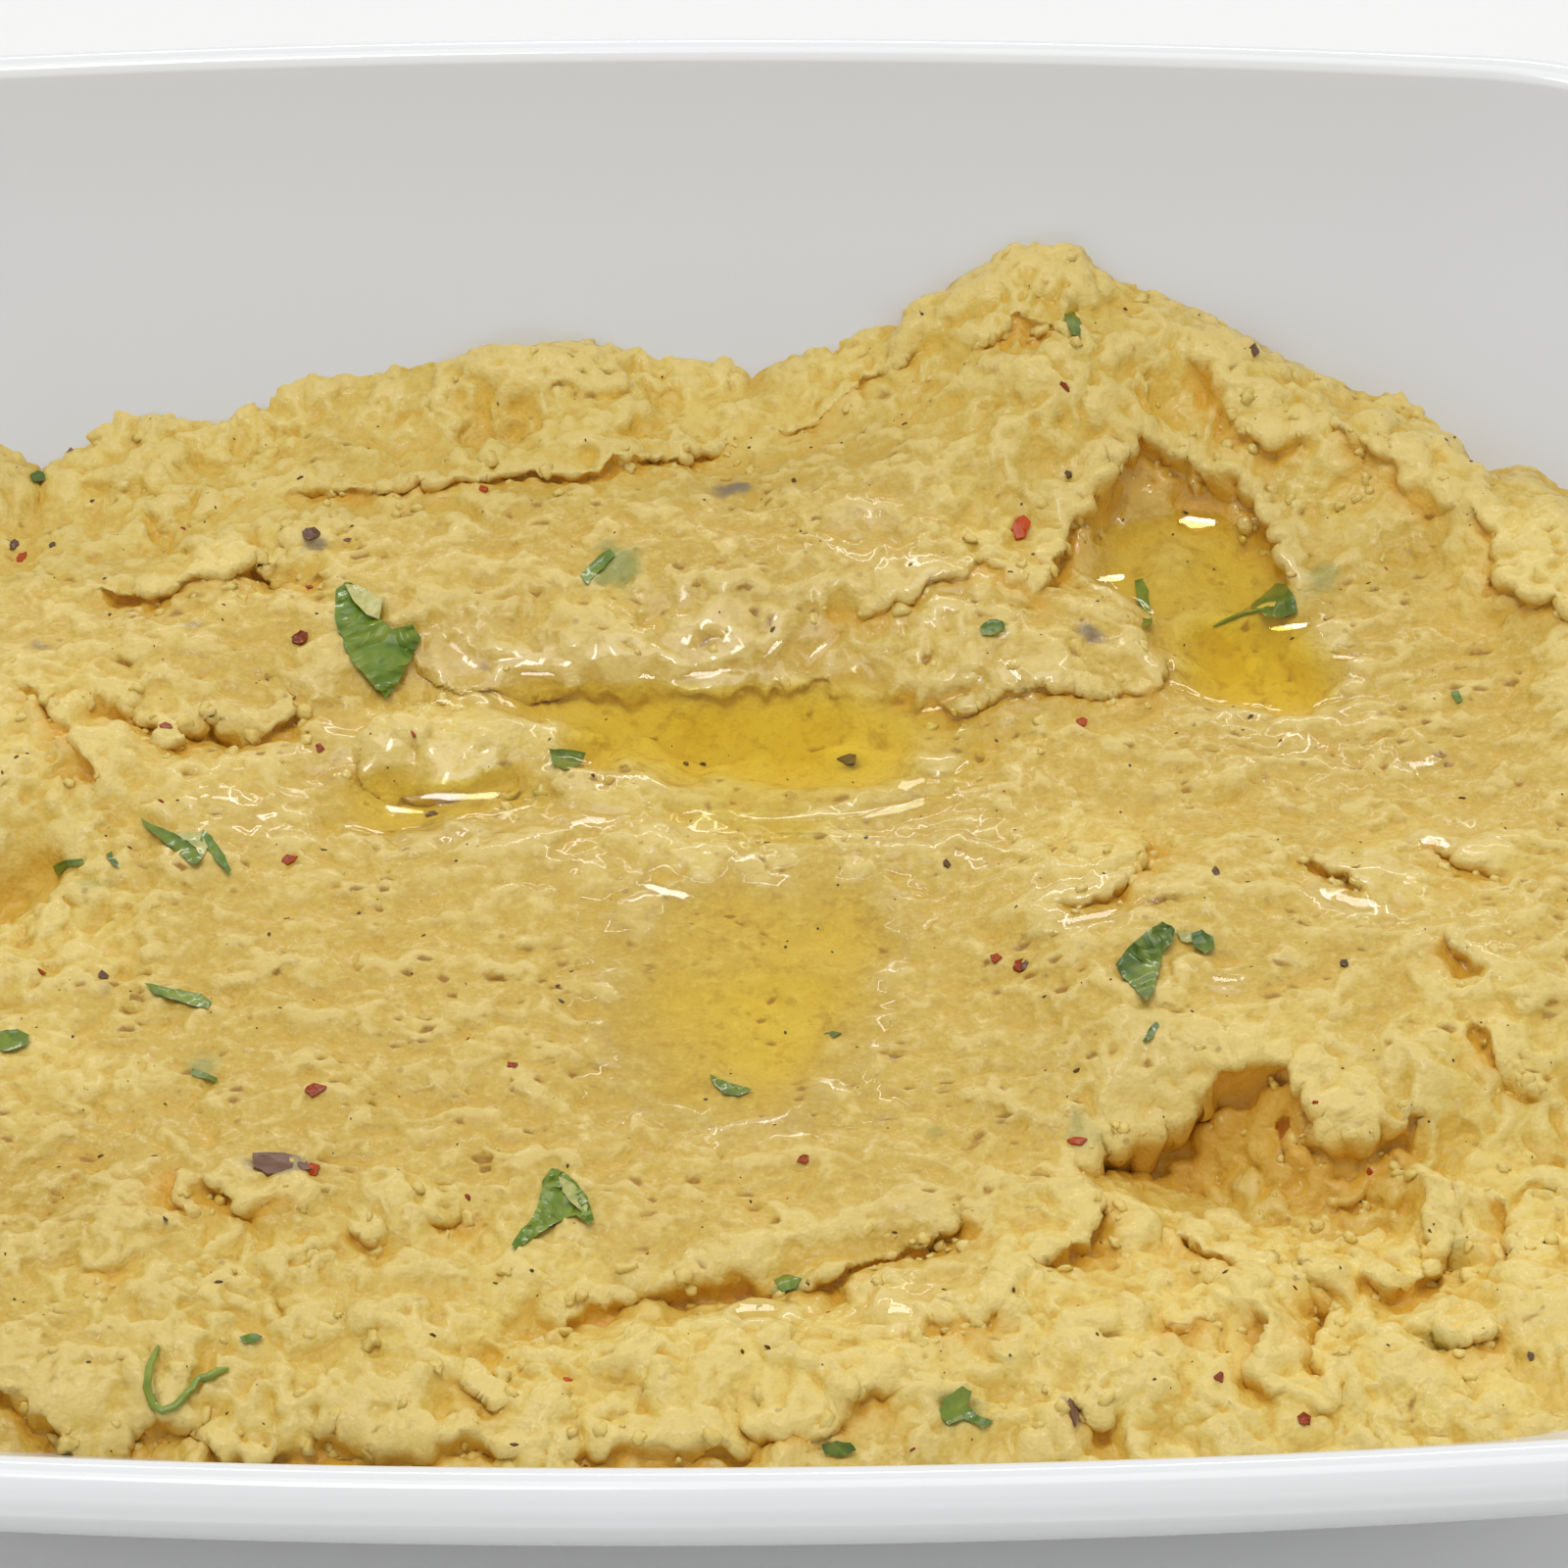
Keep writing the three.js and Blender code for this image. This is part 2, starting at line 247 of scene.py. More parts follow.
def inset_of(x, y):
    """How far inside the rim's outline a point of the plan lies."""
    x, y = np.abs(x), np.abs(y)
    lo, hi = np.full(x.shape, 0.0), np.full(x.shape, 56.0)
    for _ in range(22):
        m = (lo + hi) / 2
        a, b, r1, r2, rc, cx, cy = (np.interp(m, _I, _SIZES[:, k]) for k in range(7))
        dx, dy = x - cx, y - cy
        long_side = np.hypot(x, y - (b - r1)) - r1
        short_side = np.hypot(x - (a - r2), y) - r2
        corner = np.hypot(dx, dy) - rc
        t1, t2 = np.arctan2(cx, cy - (b - r1)), np.arctan2(cy, cx - (a - r2))
        g = np.where(np.arctan2(x, y - (b - r1)) < t1, long_side,
                     np.where(np.arctan2(y, x - (a - r2)) < t2, short_side, corner))
        out = g > 0          # outside this outline: its inset is too large
        hi = np.where(out, m, hi)
        lo = np.where(out, lo, m)
    return (lo + hi) / 2


def wall_z(x, y):
    """Level of the glaze inside the dish."""
    return np.interp(inset_of(x, y), INSIDE[:, 0], INSIDE[:, 1])


def on_wall(u, v):
    """Where the sight line of a pixel meets the inside of the dish."""
    d = sight(u, v)
    t = np.linspace((HEIGHT - POS[2]) / d[2], (FLOOR - POS[2]) / d[2], 1500)
    p = POS + t[:, None] * d
    k = int(np.argmax(p[:, 2] < wall_z(p[:, 0], p[:, 1])))
    return p[k]


# ---------------------------------------------------------------- dip relief
LEVEL = 28.0
STRAY = 2.2
SWELLS = [
    (-24, 60, 32, 6, 6, 4.6), (30, 64, 16, 11, -8, 10.8), (33, 51, 17, 12, 0, 4.6), (57, 53, 17, 5, -42, 4.6),
    (71, 31, 5, 19, 8, 4.4), (-53, 17, 13, 5, -25, 3.2), (-54, 2, 5, 6, 0, -3.6), (38, -28, 8, 2.8, 10, -2.6),
    (46, -46, 24, 8, -5, 2.2), (-38, -43, 16, 11, 20, 2.4), (6, -52, 40, 6, 0, 2.0), (4, -42, 22, 1.8, 8, -1.6),
    (-62, 36, 14, 12, 0, -1.5), (0, -68, 60, 7, 0, -3.0), (68, -54, 16, 12, 20, 3.0),
]
TERRACES = [(-8, 38, 31, 14, 4, 2.8, 15), (25, 27, 12, 8, -6, 1.6, 7), (50, -12, 25, 15, 12, 3.6, 13), (-52, 31, 14, 9, -6, 1.4, 7)]


def local(x, y, f):
    c, s = math.cos(math.radians(f[4])), math.sin(math.radians(f[4]))
    dx, dy = x - f[0], y - f[1]
    return (dx * c + dy * s) / f[2], (-dx * s + dy * c) / f[3]


def plateau(x, y, f):
    u, v = local(x, y, f)
    r = (np.abs(u) ** 2.8 + np.abs(v) ** 2.8) ** (1 / 2.8)
    edge = f[6] / min(f[2], f[3])
    t = np.clip((1 + edge / 2 - r) / edge, 0, 1)
    return f[5] * t * t * (3 - 2 * t)


def broad(px, py):
    """The dip's large forms, as in the solid."""
    x = px + STRAY * np.sin(0.13 * py + 0.9) + 0.5 * STRAY * np.sin(0.31 * px + 0.17 * py)
    y = py + 0.8 * STRAY * np.sin(0.11 * px + 2.1) + 0.5 * STRAY * np.sin(0.27 * py - 0.21 * px)
    z = np.full(np.shape(px), LEVEL)
    for f in SWELLS:
        u, v = local(x, y, f)
        z = z + f[5] * np.exp(-0.8 * (u * u + v * v))
    for f in TERRACES:
        z = z + plateau(x, y, f)
    return z


# where the dip meets the back wall, along the sight lines that just clear it
SKYLINE = [(0, 455), (45, 490), (60, 462), (120, 421), (200, 430), (250, 406), (300, 391), (440, 373), (560, 351), (600, 346),
           (650, 352), (740, 371), (765, 387), (800, 366), (850, 351), (918, 331), (928, 306), (1000, 276), (1040, 254),
           (1098, 260), (1112, 277), (1180, 297), (1250, 327), (1280, 357), (1340, 382), (1400, 407), (1430, 404),
           (1480, 442), (1505, 480), (1540, 476), (1598, 496)]

# torn edges: pixels from left to right, level, rise and its length on the far
# side, fall and its length on the near side, overhang
LEDGES = [
    ([(290, 466), (350, 482), (450, 481), (560, 478), (640, 468), (700, 452), (762, 432)], 31, 1.5, 5, 1.2, 5, 1.2),
    ([(770, 415), (830, 402), (900, 376), (955, 362)], 33, 1.2, 4, 0.8, 4, 0.8),
    ([(80, 596), (160, 590), (238, 588), (262, 562), (300, 574), (350, 592)], 30, 1.7, 6, 1.1, 5, 1.1),
    ([(80, 702), (130, 722), (170, 744), (215, 722), (250, 740), (282, 728), (306, 690)], 29, 0.9, 7, 1.6, 3, 1.0),
    ([(0, 690), (40, 702), (66, 730), (84, 768), (110, 800)], 30, 1.4, 4, 1.6, 4, 0.8),
    ([(352, 756), (362, 780), (392, 794), (450, 798), (500, 792), (548, 768)], 27.8, 0.8, 5, 0.9, 2.5, 0.9),
    ([(410, 652), (470, 690), (520, 691), (600, 688), (700, 690), (760, 688), (830, 680), (880, 690)], 28.4, 1.2, 4, 0.7, 6, 1.2),
    ([(880, 688), (905, 702), (950, 694), (985, 716), (1004, 700), (1060, 702), (1120, 716), (1172, 702), (1196, 655)], 28.2, 0.8, 5, 1.0, 3, 0.8),
    ([(820, 600), (880, 622), (950, 598), (1000, 580), (1058, 606), (1080, 585)], 30, 0.8, 4, 0.9, 3, 0.6),
    ([(1066, 600), (1082, 552), (1112, 512), (1132, 476), (1165, 466), (1205, 464), (1246, 474), (1276, 490), (1304, 526), (1326, 574)], 31, 2.2, 7, 2.4, 5, 1.5),
    ([(975, 336), (1030, 318), (1080, 322), (1108, 338)], 38, 1.0, 4, 1.0, 3, 0.8),
    ([(1205, 362), (1232, 378), (1268, 412), (1322, 432), (1350, 440)], 34.5, 1.3, 5, 1.2, 4, 0.9),
    ([(1350, 428), (1397, 458), (1433, 480), (1461, 502), (1497, 514)], 32.5, 1.8, 5, 1.0, 7, 1.1),
    ([(1500, 505), (1533, 562), (1565, 600), (1600, 618), (1640, 640)], 32, 1.8, 6, 1.0, 7, 1.1),
    ([(1060, 942), (1115, 922), (1165, 894), (1180, 868), (1150, 836)], 29, 0.4, 4, 1.7, 2.4, 0.7),
    ([(1318, 862), (1361, 890), (1410, 924)], 30, 1.6, 6, 2.2, 2.8, 1.0),
    ([(1436, 846), (1480, 872), (1526, 895), (1552, 905)], 30, 1.6, 6, 2.0, 2.8, 1.0),
    ([(1462, 955), (1499, 986), (1528, 1004)], 30.5, 1.4, 5, 2.2, 2.8, 0.9),
    ([(1484, 1030), (1517, 1064), (1545, 1078), (1572, 1101), (1588, 1118)], 31, 0.6, 4, 2.0, 1.8, 0.6),
    ([(1085, 1164), (1113, 1142), (1130, 1120), (1158, 1112), (1184, 1097), (1207, 1091), (1239, 1081), (1270, 1076), (1298, 1073), (1316, 1062),
      (1330, 1074)], 31.5, 1.0, 8, 4.8, 10, 1.9),
    ([(1306, 1076), (1328, 1094), (1340, 1118), (1360, 1142), (1384, 1150), (1410, 1132), (1445, 1126), (1488, 1138)], 31, 0.5, 6, 2.8, 6.5, 1.3),
    ([(1049, 1298), (1086, 1275), (1122, 1225), (1128, 1186)], 29.5, 1.4, 5, 2.2, 3.5, 1.0),
    ([(1185, 1222), (1224, 1266), (1274, 1300), (1290, 1306)], 29.5, 1.6, 4, 2.5, 3, 1.1),
    ([(1340, 1190), (1365, 1205), (1395, 1188), (1420, 1175)], 29.5, 1.0, 3, 1.4, 3, 0.7),
    ([(1380, 1270), (1420, 1300), (1455, 1290), (1492, 1262), (1500, 1240)], 30, 1.6, 5, 2.4, 3, 1.1),
    ([(1266, 1330), (1288, 1366), (1282, 1406), (1298, 1446)], 29, 0.6, 3, 2.0, 2.0, 0.6),
    ([(528, 1346), (563, 1339), (596, 1322), (629, 1310), (686, 1303), (747, 1296), (784, 1299), (829, 1286), (849, 1299), (892, 1272), (960, 1262), (1010, 1232)], 28.4, 0.5, 8, 2.2, 2.4, 1.0),
    ([(740, 1424), (780, 1446), (824, 1446), (869, 1430), (930, 1410)], 29, 0.9, 4, 1.6, 2.5, 0.9),
    ([(446, 1400), (502, 1429), (540, 1430)], 29, 0.7, 4, 1.0, 2.5, 0.6),
    ([(192, 1172), (177, 1200), (178, 1222), (196, 1256)], 29.5, 0.2, 3, 1.6, 1.2, 0.4),
    ([(196, 1190), (222, 1214), (246, 1234), (284, 1226), (300, 1205)], 29.5, 0.9, 5, 1.3, 2.5, 0.8),
    ([(346, 1244), (380, 1266), (404, 1254)], 29, 0.7, 4, 1.1, 2, 0.6),
    ([(418, 1240), (461, 1236), (476, 1204)], 29, 0.8, 5, 1.1, 2, 0.6),
    ([(60, 1290), (110, 1300), (150, 1275)], 30, 0.4, 4, 0.8, 2, 0.4),
    ([(-40, 1400), (0, 1419), (25, 1432), (49, 1456), (73, 1472), (104, 1488)], 28, 0.8, 5, 2.4, 5, 1.2),
    ([(112, 1458), (124, 1480), (163, 1450), (196, 1456), (261, 1481), (302, 1472), (339, 1464), (394, 1478), (460, 1468), (540, 1484)], 28, 0.6, 4, 2.2, 5, 1.0),
    ([(560, 1486), (620, 1478), (700, 1488), (790, 1478)], 28, 0.5, 4, 1.8, 5, 0.8),
    ([(1090, 1420), (1120, 1448), (1150, 1440)], 28.5, 0.6, 4, 1.4, 2.5, 0.7),
    ([(1352, 1290), (1366, 1330), (1352, 1372), (1372, 1420)], 29.5, 0.5, 4, 1.7, 2.2, 0.7),
    ([(1180, 1330), (1206, 1356), (1236, 1352), (1252, 1330)], 29, 0.9, 4, 1.6, 2.4, 0.8),
    ([(1440, 1352), (1476, 1384), (1520, 1380), (1548, 1350)], 29.5, 0.9, 4, 1.6, 2.4, 0.8),
    ([(1530, 1190), (1544, 1226), (1534, 1262), (1556, 1300)], 30, 0.5, 4, 1.8, 2.2, 0.7),
    ([(930, 1340), (962, 1366), (1004, 1356), (1034, 1334)], 28.5, 0.8, 4, 1.5, 2.4, 0.8),
]
# lumps and pits: pixel, level, half sizes in mm, turn, rise
LUMPS = [
    (632, 452, 32, 1.6, 1.8, 0, 1.6), (452, 742, 28, 6.8, 2.8, 4, 2.6), (582, 790, 27.5, 2.0, 1.3, 0, 1.1),
    (285, 572, 30, 3.4, 1.5, -6, -2.6), (228, 737, 29, 2.6, 1.3, 0, -2.0), (12, 880, 28, 4.0, 3.2, 20, -3.2),
    (1224, 1168, 29, 1.6, 1.7, 0, -2.6), (1350, 1180, 29, 3.0, 1.4, 10, -1.6), (1110, 880, 29.5, 4.2, 2.4, 20, 0.9),
    (925, 318, 37, 1.6, 1.8, 0, 1.0), (150, 440, 30.5, 3.2, 2.4, 0, 1.6), (1410, 415, 33, 2.6, 2.0, 0, 1.0),
    (1180, 540, 28, 6, 4, 0, 1.0), (390, 830, 27, 6, 2.6, 4, -0.9), (590, 735, 26.5, 2.6, 1.4, 0, 0.9),
    (505, 560, 30, 3, 1.6, 0, -0.5), (880, 500, 31, 9, 4, 10, 0.5), (60, 640, 29.5, 9, 4, 0, 0.4),
]
# how crumbly the surface is: pixel, level, reach in mm, amount
CRUMBLE = [
    (200, 450, 31, 15, 1.0), (450, 420, 32, 13, 0.9), (650, 400, 32, 11, 1.0), (850, 380, 33, 9, 0.7), (1050, 330, 38, 15, 0.95),
    (1180, 400, 36, 13, 0.9), (1050, 450, 34, 12, 0.8), (1400, 430, 33, 11, 0.9), (1560, 560, 31, 9, 0.8), (250, 530, 30, 9, 0.9),
    (50, 540, 29, 12, 0.6), (60, 760, 30, 10, 0.9), (40, 920, 29, 9, 1.0), (60, 1080, 29, 9, 0.6), (200, 800, 28, 9, 0.45),
    (1215, 560, 28, 5.5, 0.7), (1270, 690, 27, 4, 0.25), (570, 738, 26, 5, 0.9), (452, 742, 28, 7, 0.95), (700, 830, 28, 11, 0.5), (900, 830, 28, 9, 0.4), (1120, 870, 29, 9, 0.55), (1450, 900, 30, 12, 0.5),
    (1520, 1050, 31, 11, 0.6), (1250, 1040, 31, 9, 0.3), (1300, 1200, 29, 14, 1.0), (1500, 1200, 30, 14, 0.95), (1150, 1280, 29, 12, 0.8),
    (1400, 1380, 30, 16, 0.8), (1100, 1430, 29, 13, 0.9), (800, 1400, 29, 14, 0.9), (550, 1400, 29, 14, 0.95), (300, 1330, 29, 13, 1.0),
    (120, 1320, 30, 12, 0.6), (200, 1430, 29, 11, 1.0), (400, 1240, 29, 8, 0.8), (560, 1300, 29, 8, 0.7), (640, 640, 29, 10, 0.35), (960, 620, 29, 10, 0.4),
]


def polyline(pts, z, n=48):
    p = np.array([plan(u, v, z) for u, v in pts])
    s = np.concatenate([[0], np.cumsum(np.hypot(*np.diff(p, axis=0).T))])
    t = np.linspace(0, s[-1], n)
    return np.stack([np.interp(t, s, p[:, 0]), np.interp(t, s, p[:, 1])], 1), s[-1]


def to_line(x, y, p):
    """Signed distance to a line (left of its run is positive), place along it, and the way to the far side."""
    best = np.full(x.shape, 1e9)
    sd, along, nx, ny = (np.zeros(x.shape) for _ in range(4))
    m = len(p) - 1
    for k in range(m):
        a, d = p[k], p[k + 1] - p[k]
        t = np.clip(((x - a[0]) * d[0] + (y - a[1]) * d[1]) / (d @ d + 1e-12), 0, 1)
        ex, ey = x - (a[0] + t * d[0]), y - (a[1] + t * d[1])
        r = ex * ex + ey * ey
        near = r < best
        best = np.where(near, r, best)
        ln = math.hypot(*d)
        side = np.where(d[0] * ey - d[1] * ex >= 0, 1.0, -1.0)
        sd = np.where(near, side * np.sqrt(r), sd)
        along = np.where(near, (k + t) / m, along)
        nx, ny = np.where(near, -d[1] / ln, nx), np.where(near, d[0] / ln, ny)
    return sd, along, nx, ny


def blobs(x, y, size, seed=0, fill=0.75, least=0.34, most=0.78, stretch=1.7, power=0.62):
    """Domes scattered at about that spacing, some left out: the highest at each place, 0 to 1."""
    x, y = x / size, y / size
    ix, iy = np.floor(x), np.floor(y)
    best = np.zeros(x.shape)
    for a in (-1, 0, 1):
        for b in (-1, 0, 1):
            cx, cy = ix + a, iy + b
            r0, live = rnd(cx, cy, seed + 1), rnd(cx, cy, seed + 2) < fill
            dx = x - (cx + 0.12 + 0.76 * rnd(cx, cy, seed + 3))
            dy = y - (cy + 0.12 + 0.76 * rnd(cx, cy, seed + 4))
            r = least + (most - least) * r0
            t = rnd(cx, cy, seed + 5) * np.pi
            s = 1 + (stretch - 1) * rnd(cx, cy, seed + 6)
            u = (dx * np.cos(t) + dy * np.sin(t)) / (r * np.sqrt(s))
            v = (dy * np.cos(t) - dx * np.sin(t)) * np.sqrt(s) / r
            h = np.where(live, (0.35 + 0.65 * r0) * np.clip(1 - u * u - v * v, 0, None) ** power, 0)
            best = np.maximum(best, h)
    return best


# pools of oil: level, then shorelines through pixels with the depth of the bed and the width of the shore
POOLS = {
    "oil_trough": (26.9, [
        ([(455, 702), (520, 696), (600, 692), (700, 694), (760, 692), (830, 686), (872, 692), (905, 708), (948, 728), (956, 758), (925, 792),
          (862, 806), (780, 808), (700, 800), (640, 784), (600, 792), (560, 776), (546, 742), (498, 718)], 2.6, 5.0),
        ([(362, 796), (392, 776), (450, 790), (536, 778), (526, 798), (446, 824), (392, 830), (368, 816)], 1.4, 1.8)]),
    "oil_right": (26.7, [
        ([(1176, 652), (1186, 622), (1214, 606), (1256, 610), (1300, 606), (1344, 634), (1362, 676), (1372, 712), (1336, 732), (1288, 726),
          (1236, 716), (1198, 692)], 2.8, 4.0),
        ([(1112, 584), (1124, 540), (1160, 516), (1232, 524), (1280, 552), (1304, 596), (1270, 640), (1220, 640), (1186, 636), (1146, 610)], 0.9, 2.5)]),
    "oil_centre": (27.2, [
        ([(636, 906), (716, 892), (800, 884), (896, 884), (944, 940), (934, 1024), (896, 1104), (826, 1164), (736, 1172), (656, 1138),
          (606, 1056), (600, 968)], 1.45, 12.0)]),
}
# oily, shining patches: pixel, level, reach in mm, amount
SHINE = [
    (470, 690, 28, 5, 0.9), (700, 680, 28, 8, 0.9), (810, 655, 28, 4, 0.9), (960, 715, 28, 4, 0.9), (1040, 690, 28, 4, 0.8), (450, 815, 27, 7, 1.0),
    (350, 760, 28, 5, 0.8), (675, 905, 27.5, 4, 0.8), (915, 830, 28, 6, 0.9), (720, 850, 28, 7, 0.7), (1105, 930, 28.5, 5, 0.8), (1385, 915, 29, 5, 0.9),
    (1490, 860, 29, 4, 0.7), (1225, 535, 28, 6, 0.9), (1305, 640, 27, 6, 0.9), (1230, 660, 27, 7, 0.9), (780, 1335, 27, 4, 0.9), (915, 1340, 27.5, 4, 0.8),
    (880, 560, 30, 8, 0.45), (960, 620, 29, 7, 0.6), (1340, 740, 28, 9, 0.5), (560, 860, 28, 9, 0.45), (980, 860, 28, 8, 0.5), (250, 830, 28, 7, 0.6),
    (1500, 980, 30, 5, 0.5),
]
# smooth films of oil that catch the light: pixel, half length and half width in mm, turn, which light
GLINTS = [
    (548, 687, 3.0, 0.26, 0, 1), (655, 690, 1.1, 0.20, -8, 1), (718, 687, 2.2, 0.25, 4, 1), (788, 662, 1.0, 0.20, 48, 1), (834, 664, 0.9, 0.16, 42, 1), (470, 813, 3.2, 1.00, 14, 0),
    (412, 827, 1.5, 0.80, -8, 0), (915, 826, 2.8, 1.00, 24, 0), (680, 910, 1.7, 1.00, -25, 0), (1110, 936, 2.6, 0.68, 18, 0), (1385, 920, 2.0, 0.90, -32, 0), (1465, 860, 1.3, 0.80, -38, 0),
    (1040, 690, 1.6, 0.26, -52, 1), (960, 721, 1.7, 0.24, 14, 1), (770, 1335, 1.3, 1.10, 12, 0), (917, 1337, 0.8, 0.90, -60, 0), (600, 838, 1.6, 0.70, 20, 0),
    (1222, 533, 1.7, 0.50, -10, 1), (1135, 590, 1.0, 0.36, 6, 1), (1316, 640, 1.4, 0.30, 5, 1), (1373, 671, 0.9, 0.20, -10, 1), (930, 800, 1.3, 0.80, 35, 0),
    (1450, 780, 1.0, 0.68, 10, 0), (1250, 1000, 0.8, 0.60, -15, 0), (230, 815, 1.0, 0.64, 10, 0),
]
LAMPS = ((50.0, 950.0, 550.0), (-120.0, -50.0, 950.0))
# painted light and shade over the paste, darker or paler by place (painted shade on the heap, the back ridges, the left
# side and in the hollows under the big ledges, painted light at the front right and on the big ledge), with a random
# drift of tone added later: pixel, level, reach in mm, amount
LIGHT_AND_TONE_PATCHES = [
    (1100, 420, 35, 19, -1.0), (450, 420, 32, 17, -0.5), (120, 1300, 30, 19, -1.1), (350, 1280, 29, 12, -0.6), (40, 900, 29, 12, -0.6), (700, 540, 30, 16, -0.5),
    (1400, 700, 29, 14, -0.4), (1450, 1350, 30, 22, 1.3), (1250, 1080, 31, 9, 0.4), (900, 1400, 29, 12, 0.5), (1250, 1160, 29, 6, -0.8), (1420, 1180, 29, 5, -0.8),
]
# green and grey tints of leaf and pepper just under the surface: pixel, level, half sizes in mm, turn, amount, green or grey
STAINS = [
    (630, 578, 30, 2.4, 2.6, 20, 0.80, 1), (612, 590, 30, 1.0, 1.5, 60, 0.75, 1), (1352, 585, 28, 1.8, 2.0, 0, 0.55, 1), (1490, 1262, 30, 1.0, 2.6, 0, 0.40, 1),
    (1468, 1372, 30, 1.8, 2.0, 0, 0.55, 1), (1098, 1130, 30, 1.2, 1.8, 0, 0.55, 1), (805, 1308, 27, 1.5, 1.0, 0, 0.8, 1), (955, 1150, 28, 1.2, 0.8, 0, 0.45, 1),
    (205, 1075, 29, 1.4, 1.7, 0, 0.7, 1), (978, 1440, 28.5, 1.8, 1.6, 0, 0.5, 1), (90, 886, 29, 2.2, 1.0, 0, 0.45, 1),
    (745, 487, 31.5, 1.8, 1.0, 10, 0.9, 0), (285, 1189, 29.5, 2.9, 1.3, -4, 0.8, 0), (1110, 652, 28.4, 1.7, 1.0, -20, 0.8, 0), (865, 775, 25, 1.3, 0.8, 0, 0.7, 0), (320, 546, 30.5, 1.0, 0.9, 0, 0.8, 0),
    (38, 655, 29.5, 1.3, 0.8, -30, 0.6, 0), (200, 636, 29.4, 1.2, 0.6, 0, 0.45, 0), (1092, 1440, 28.5, 0.7, 1.8, 15, 0.6, 0), (105, 998, 29, 0.8, 0.8, 0, 0.5, 0),
    (440, 832, 27, 1.0, 0.5, 0, 0.5, 0), (1175, 575, 27, 1.2, 1.0, 0, 0.3, 0), (1440, 1120, 31, 1.2, 0.8, 0, 0.35, 0),
]

STEP = 0.28
gx = np.arange(-87, 87 + STEP, STEP)
gy = np.arange(-66, 74 + STEP, STEP)
X, Y = np.meshgrid(gx, gy)
WZ = wall_z(X, Y)
INS = inset_of(X, Y)


def pool_distance(x, y, pts, z):
    """How far inside a shoreline a place lies, negative outside."""
    p = np.array([plan(u, v, z) for u, v in pts])
    best, inside = np.full(x.shape, 1e9), np.zeros(x.shape, bool)
    for a, b in zip(p, np.roll(p, -1, 0)):
        d = b - a
        t = np.clip(((x - a[0]) * d[0] + (y - a[1]) * d[1]) / (d @ d), 0, 1)
        best = np.minimum(best, np.hypot(x - a[0] - t * d[0], y - a[1] - t * d[1]))
        inside ^= ((a[1] > y) != (b[1] > y)) & (x < d[0] * (y - a[1]) / (d[1] + 1e-12) + a[0])
    return np.where(inside, best, -best)


def occlusion(z, reaches=(0.45, 0.9, 1.7, 3.0, 5.0), turns=12):
    """Share of the sky hidden by the relief around each place."""
    total = np.zeros(z.shape)
    for k in range(turns):
        t = 2 * math.pi * (k + 0.5) / turns
        top = np.zeros(z.shape)
        for r in reaches:
            sx, sy = int(round(r * math.cos(t) / STEP)), int(round(r * math.sin(t) / STEP))
            top = np.maximum(top, (np.roll(z, (-sy, -sx), (0, 1)) - z) / (math.hypot(sx, sy) * STEP))
        total += top * top / (1 + top * top)
    return total / turns


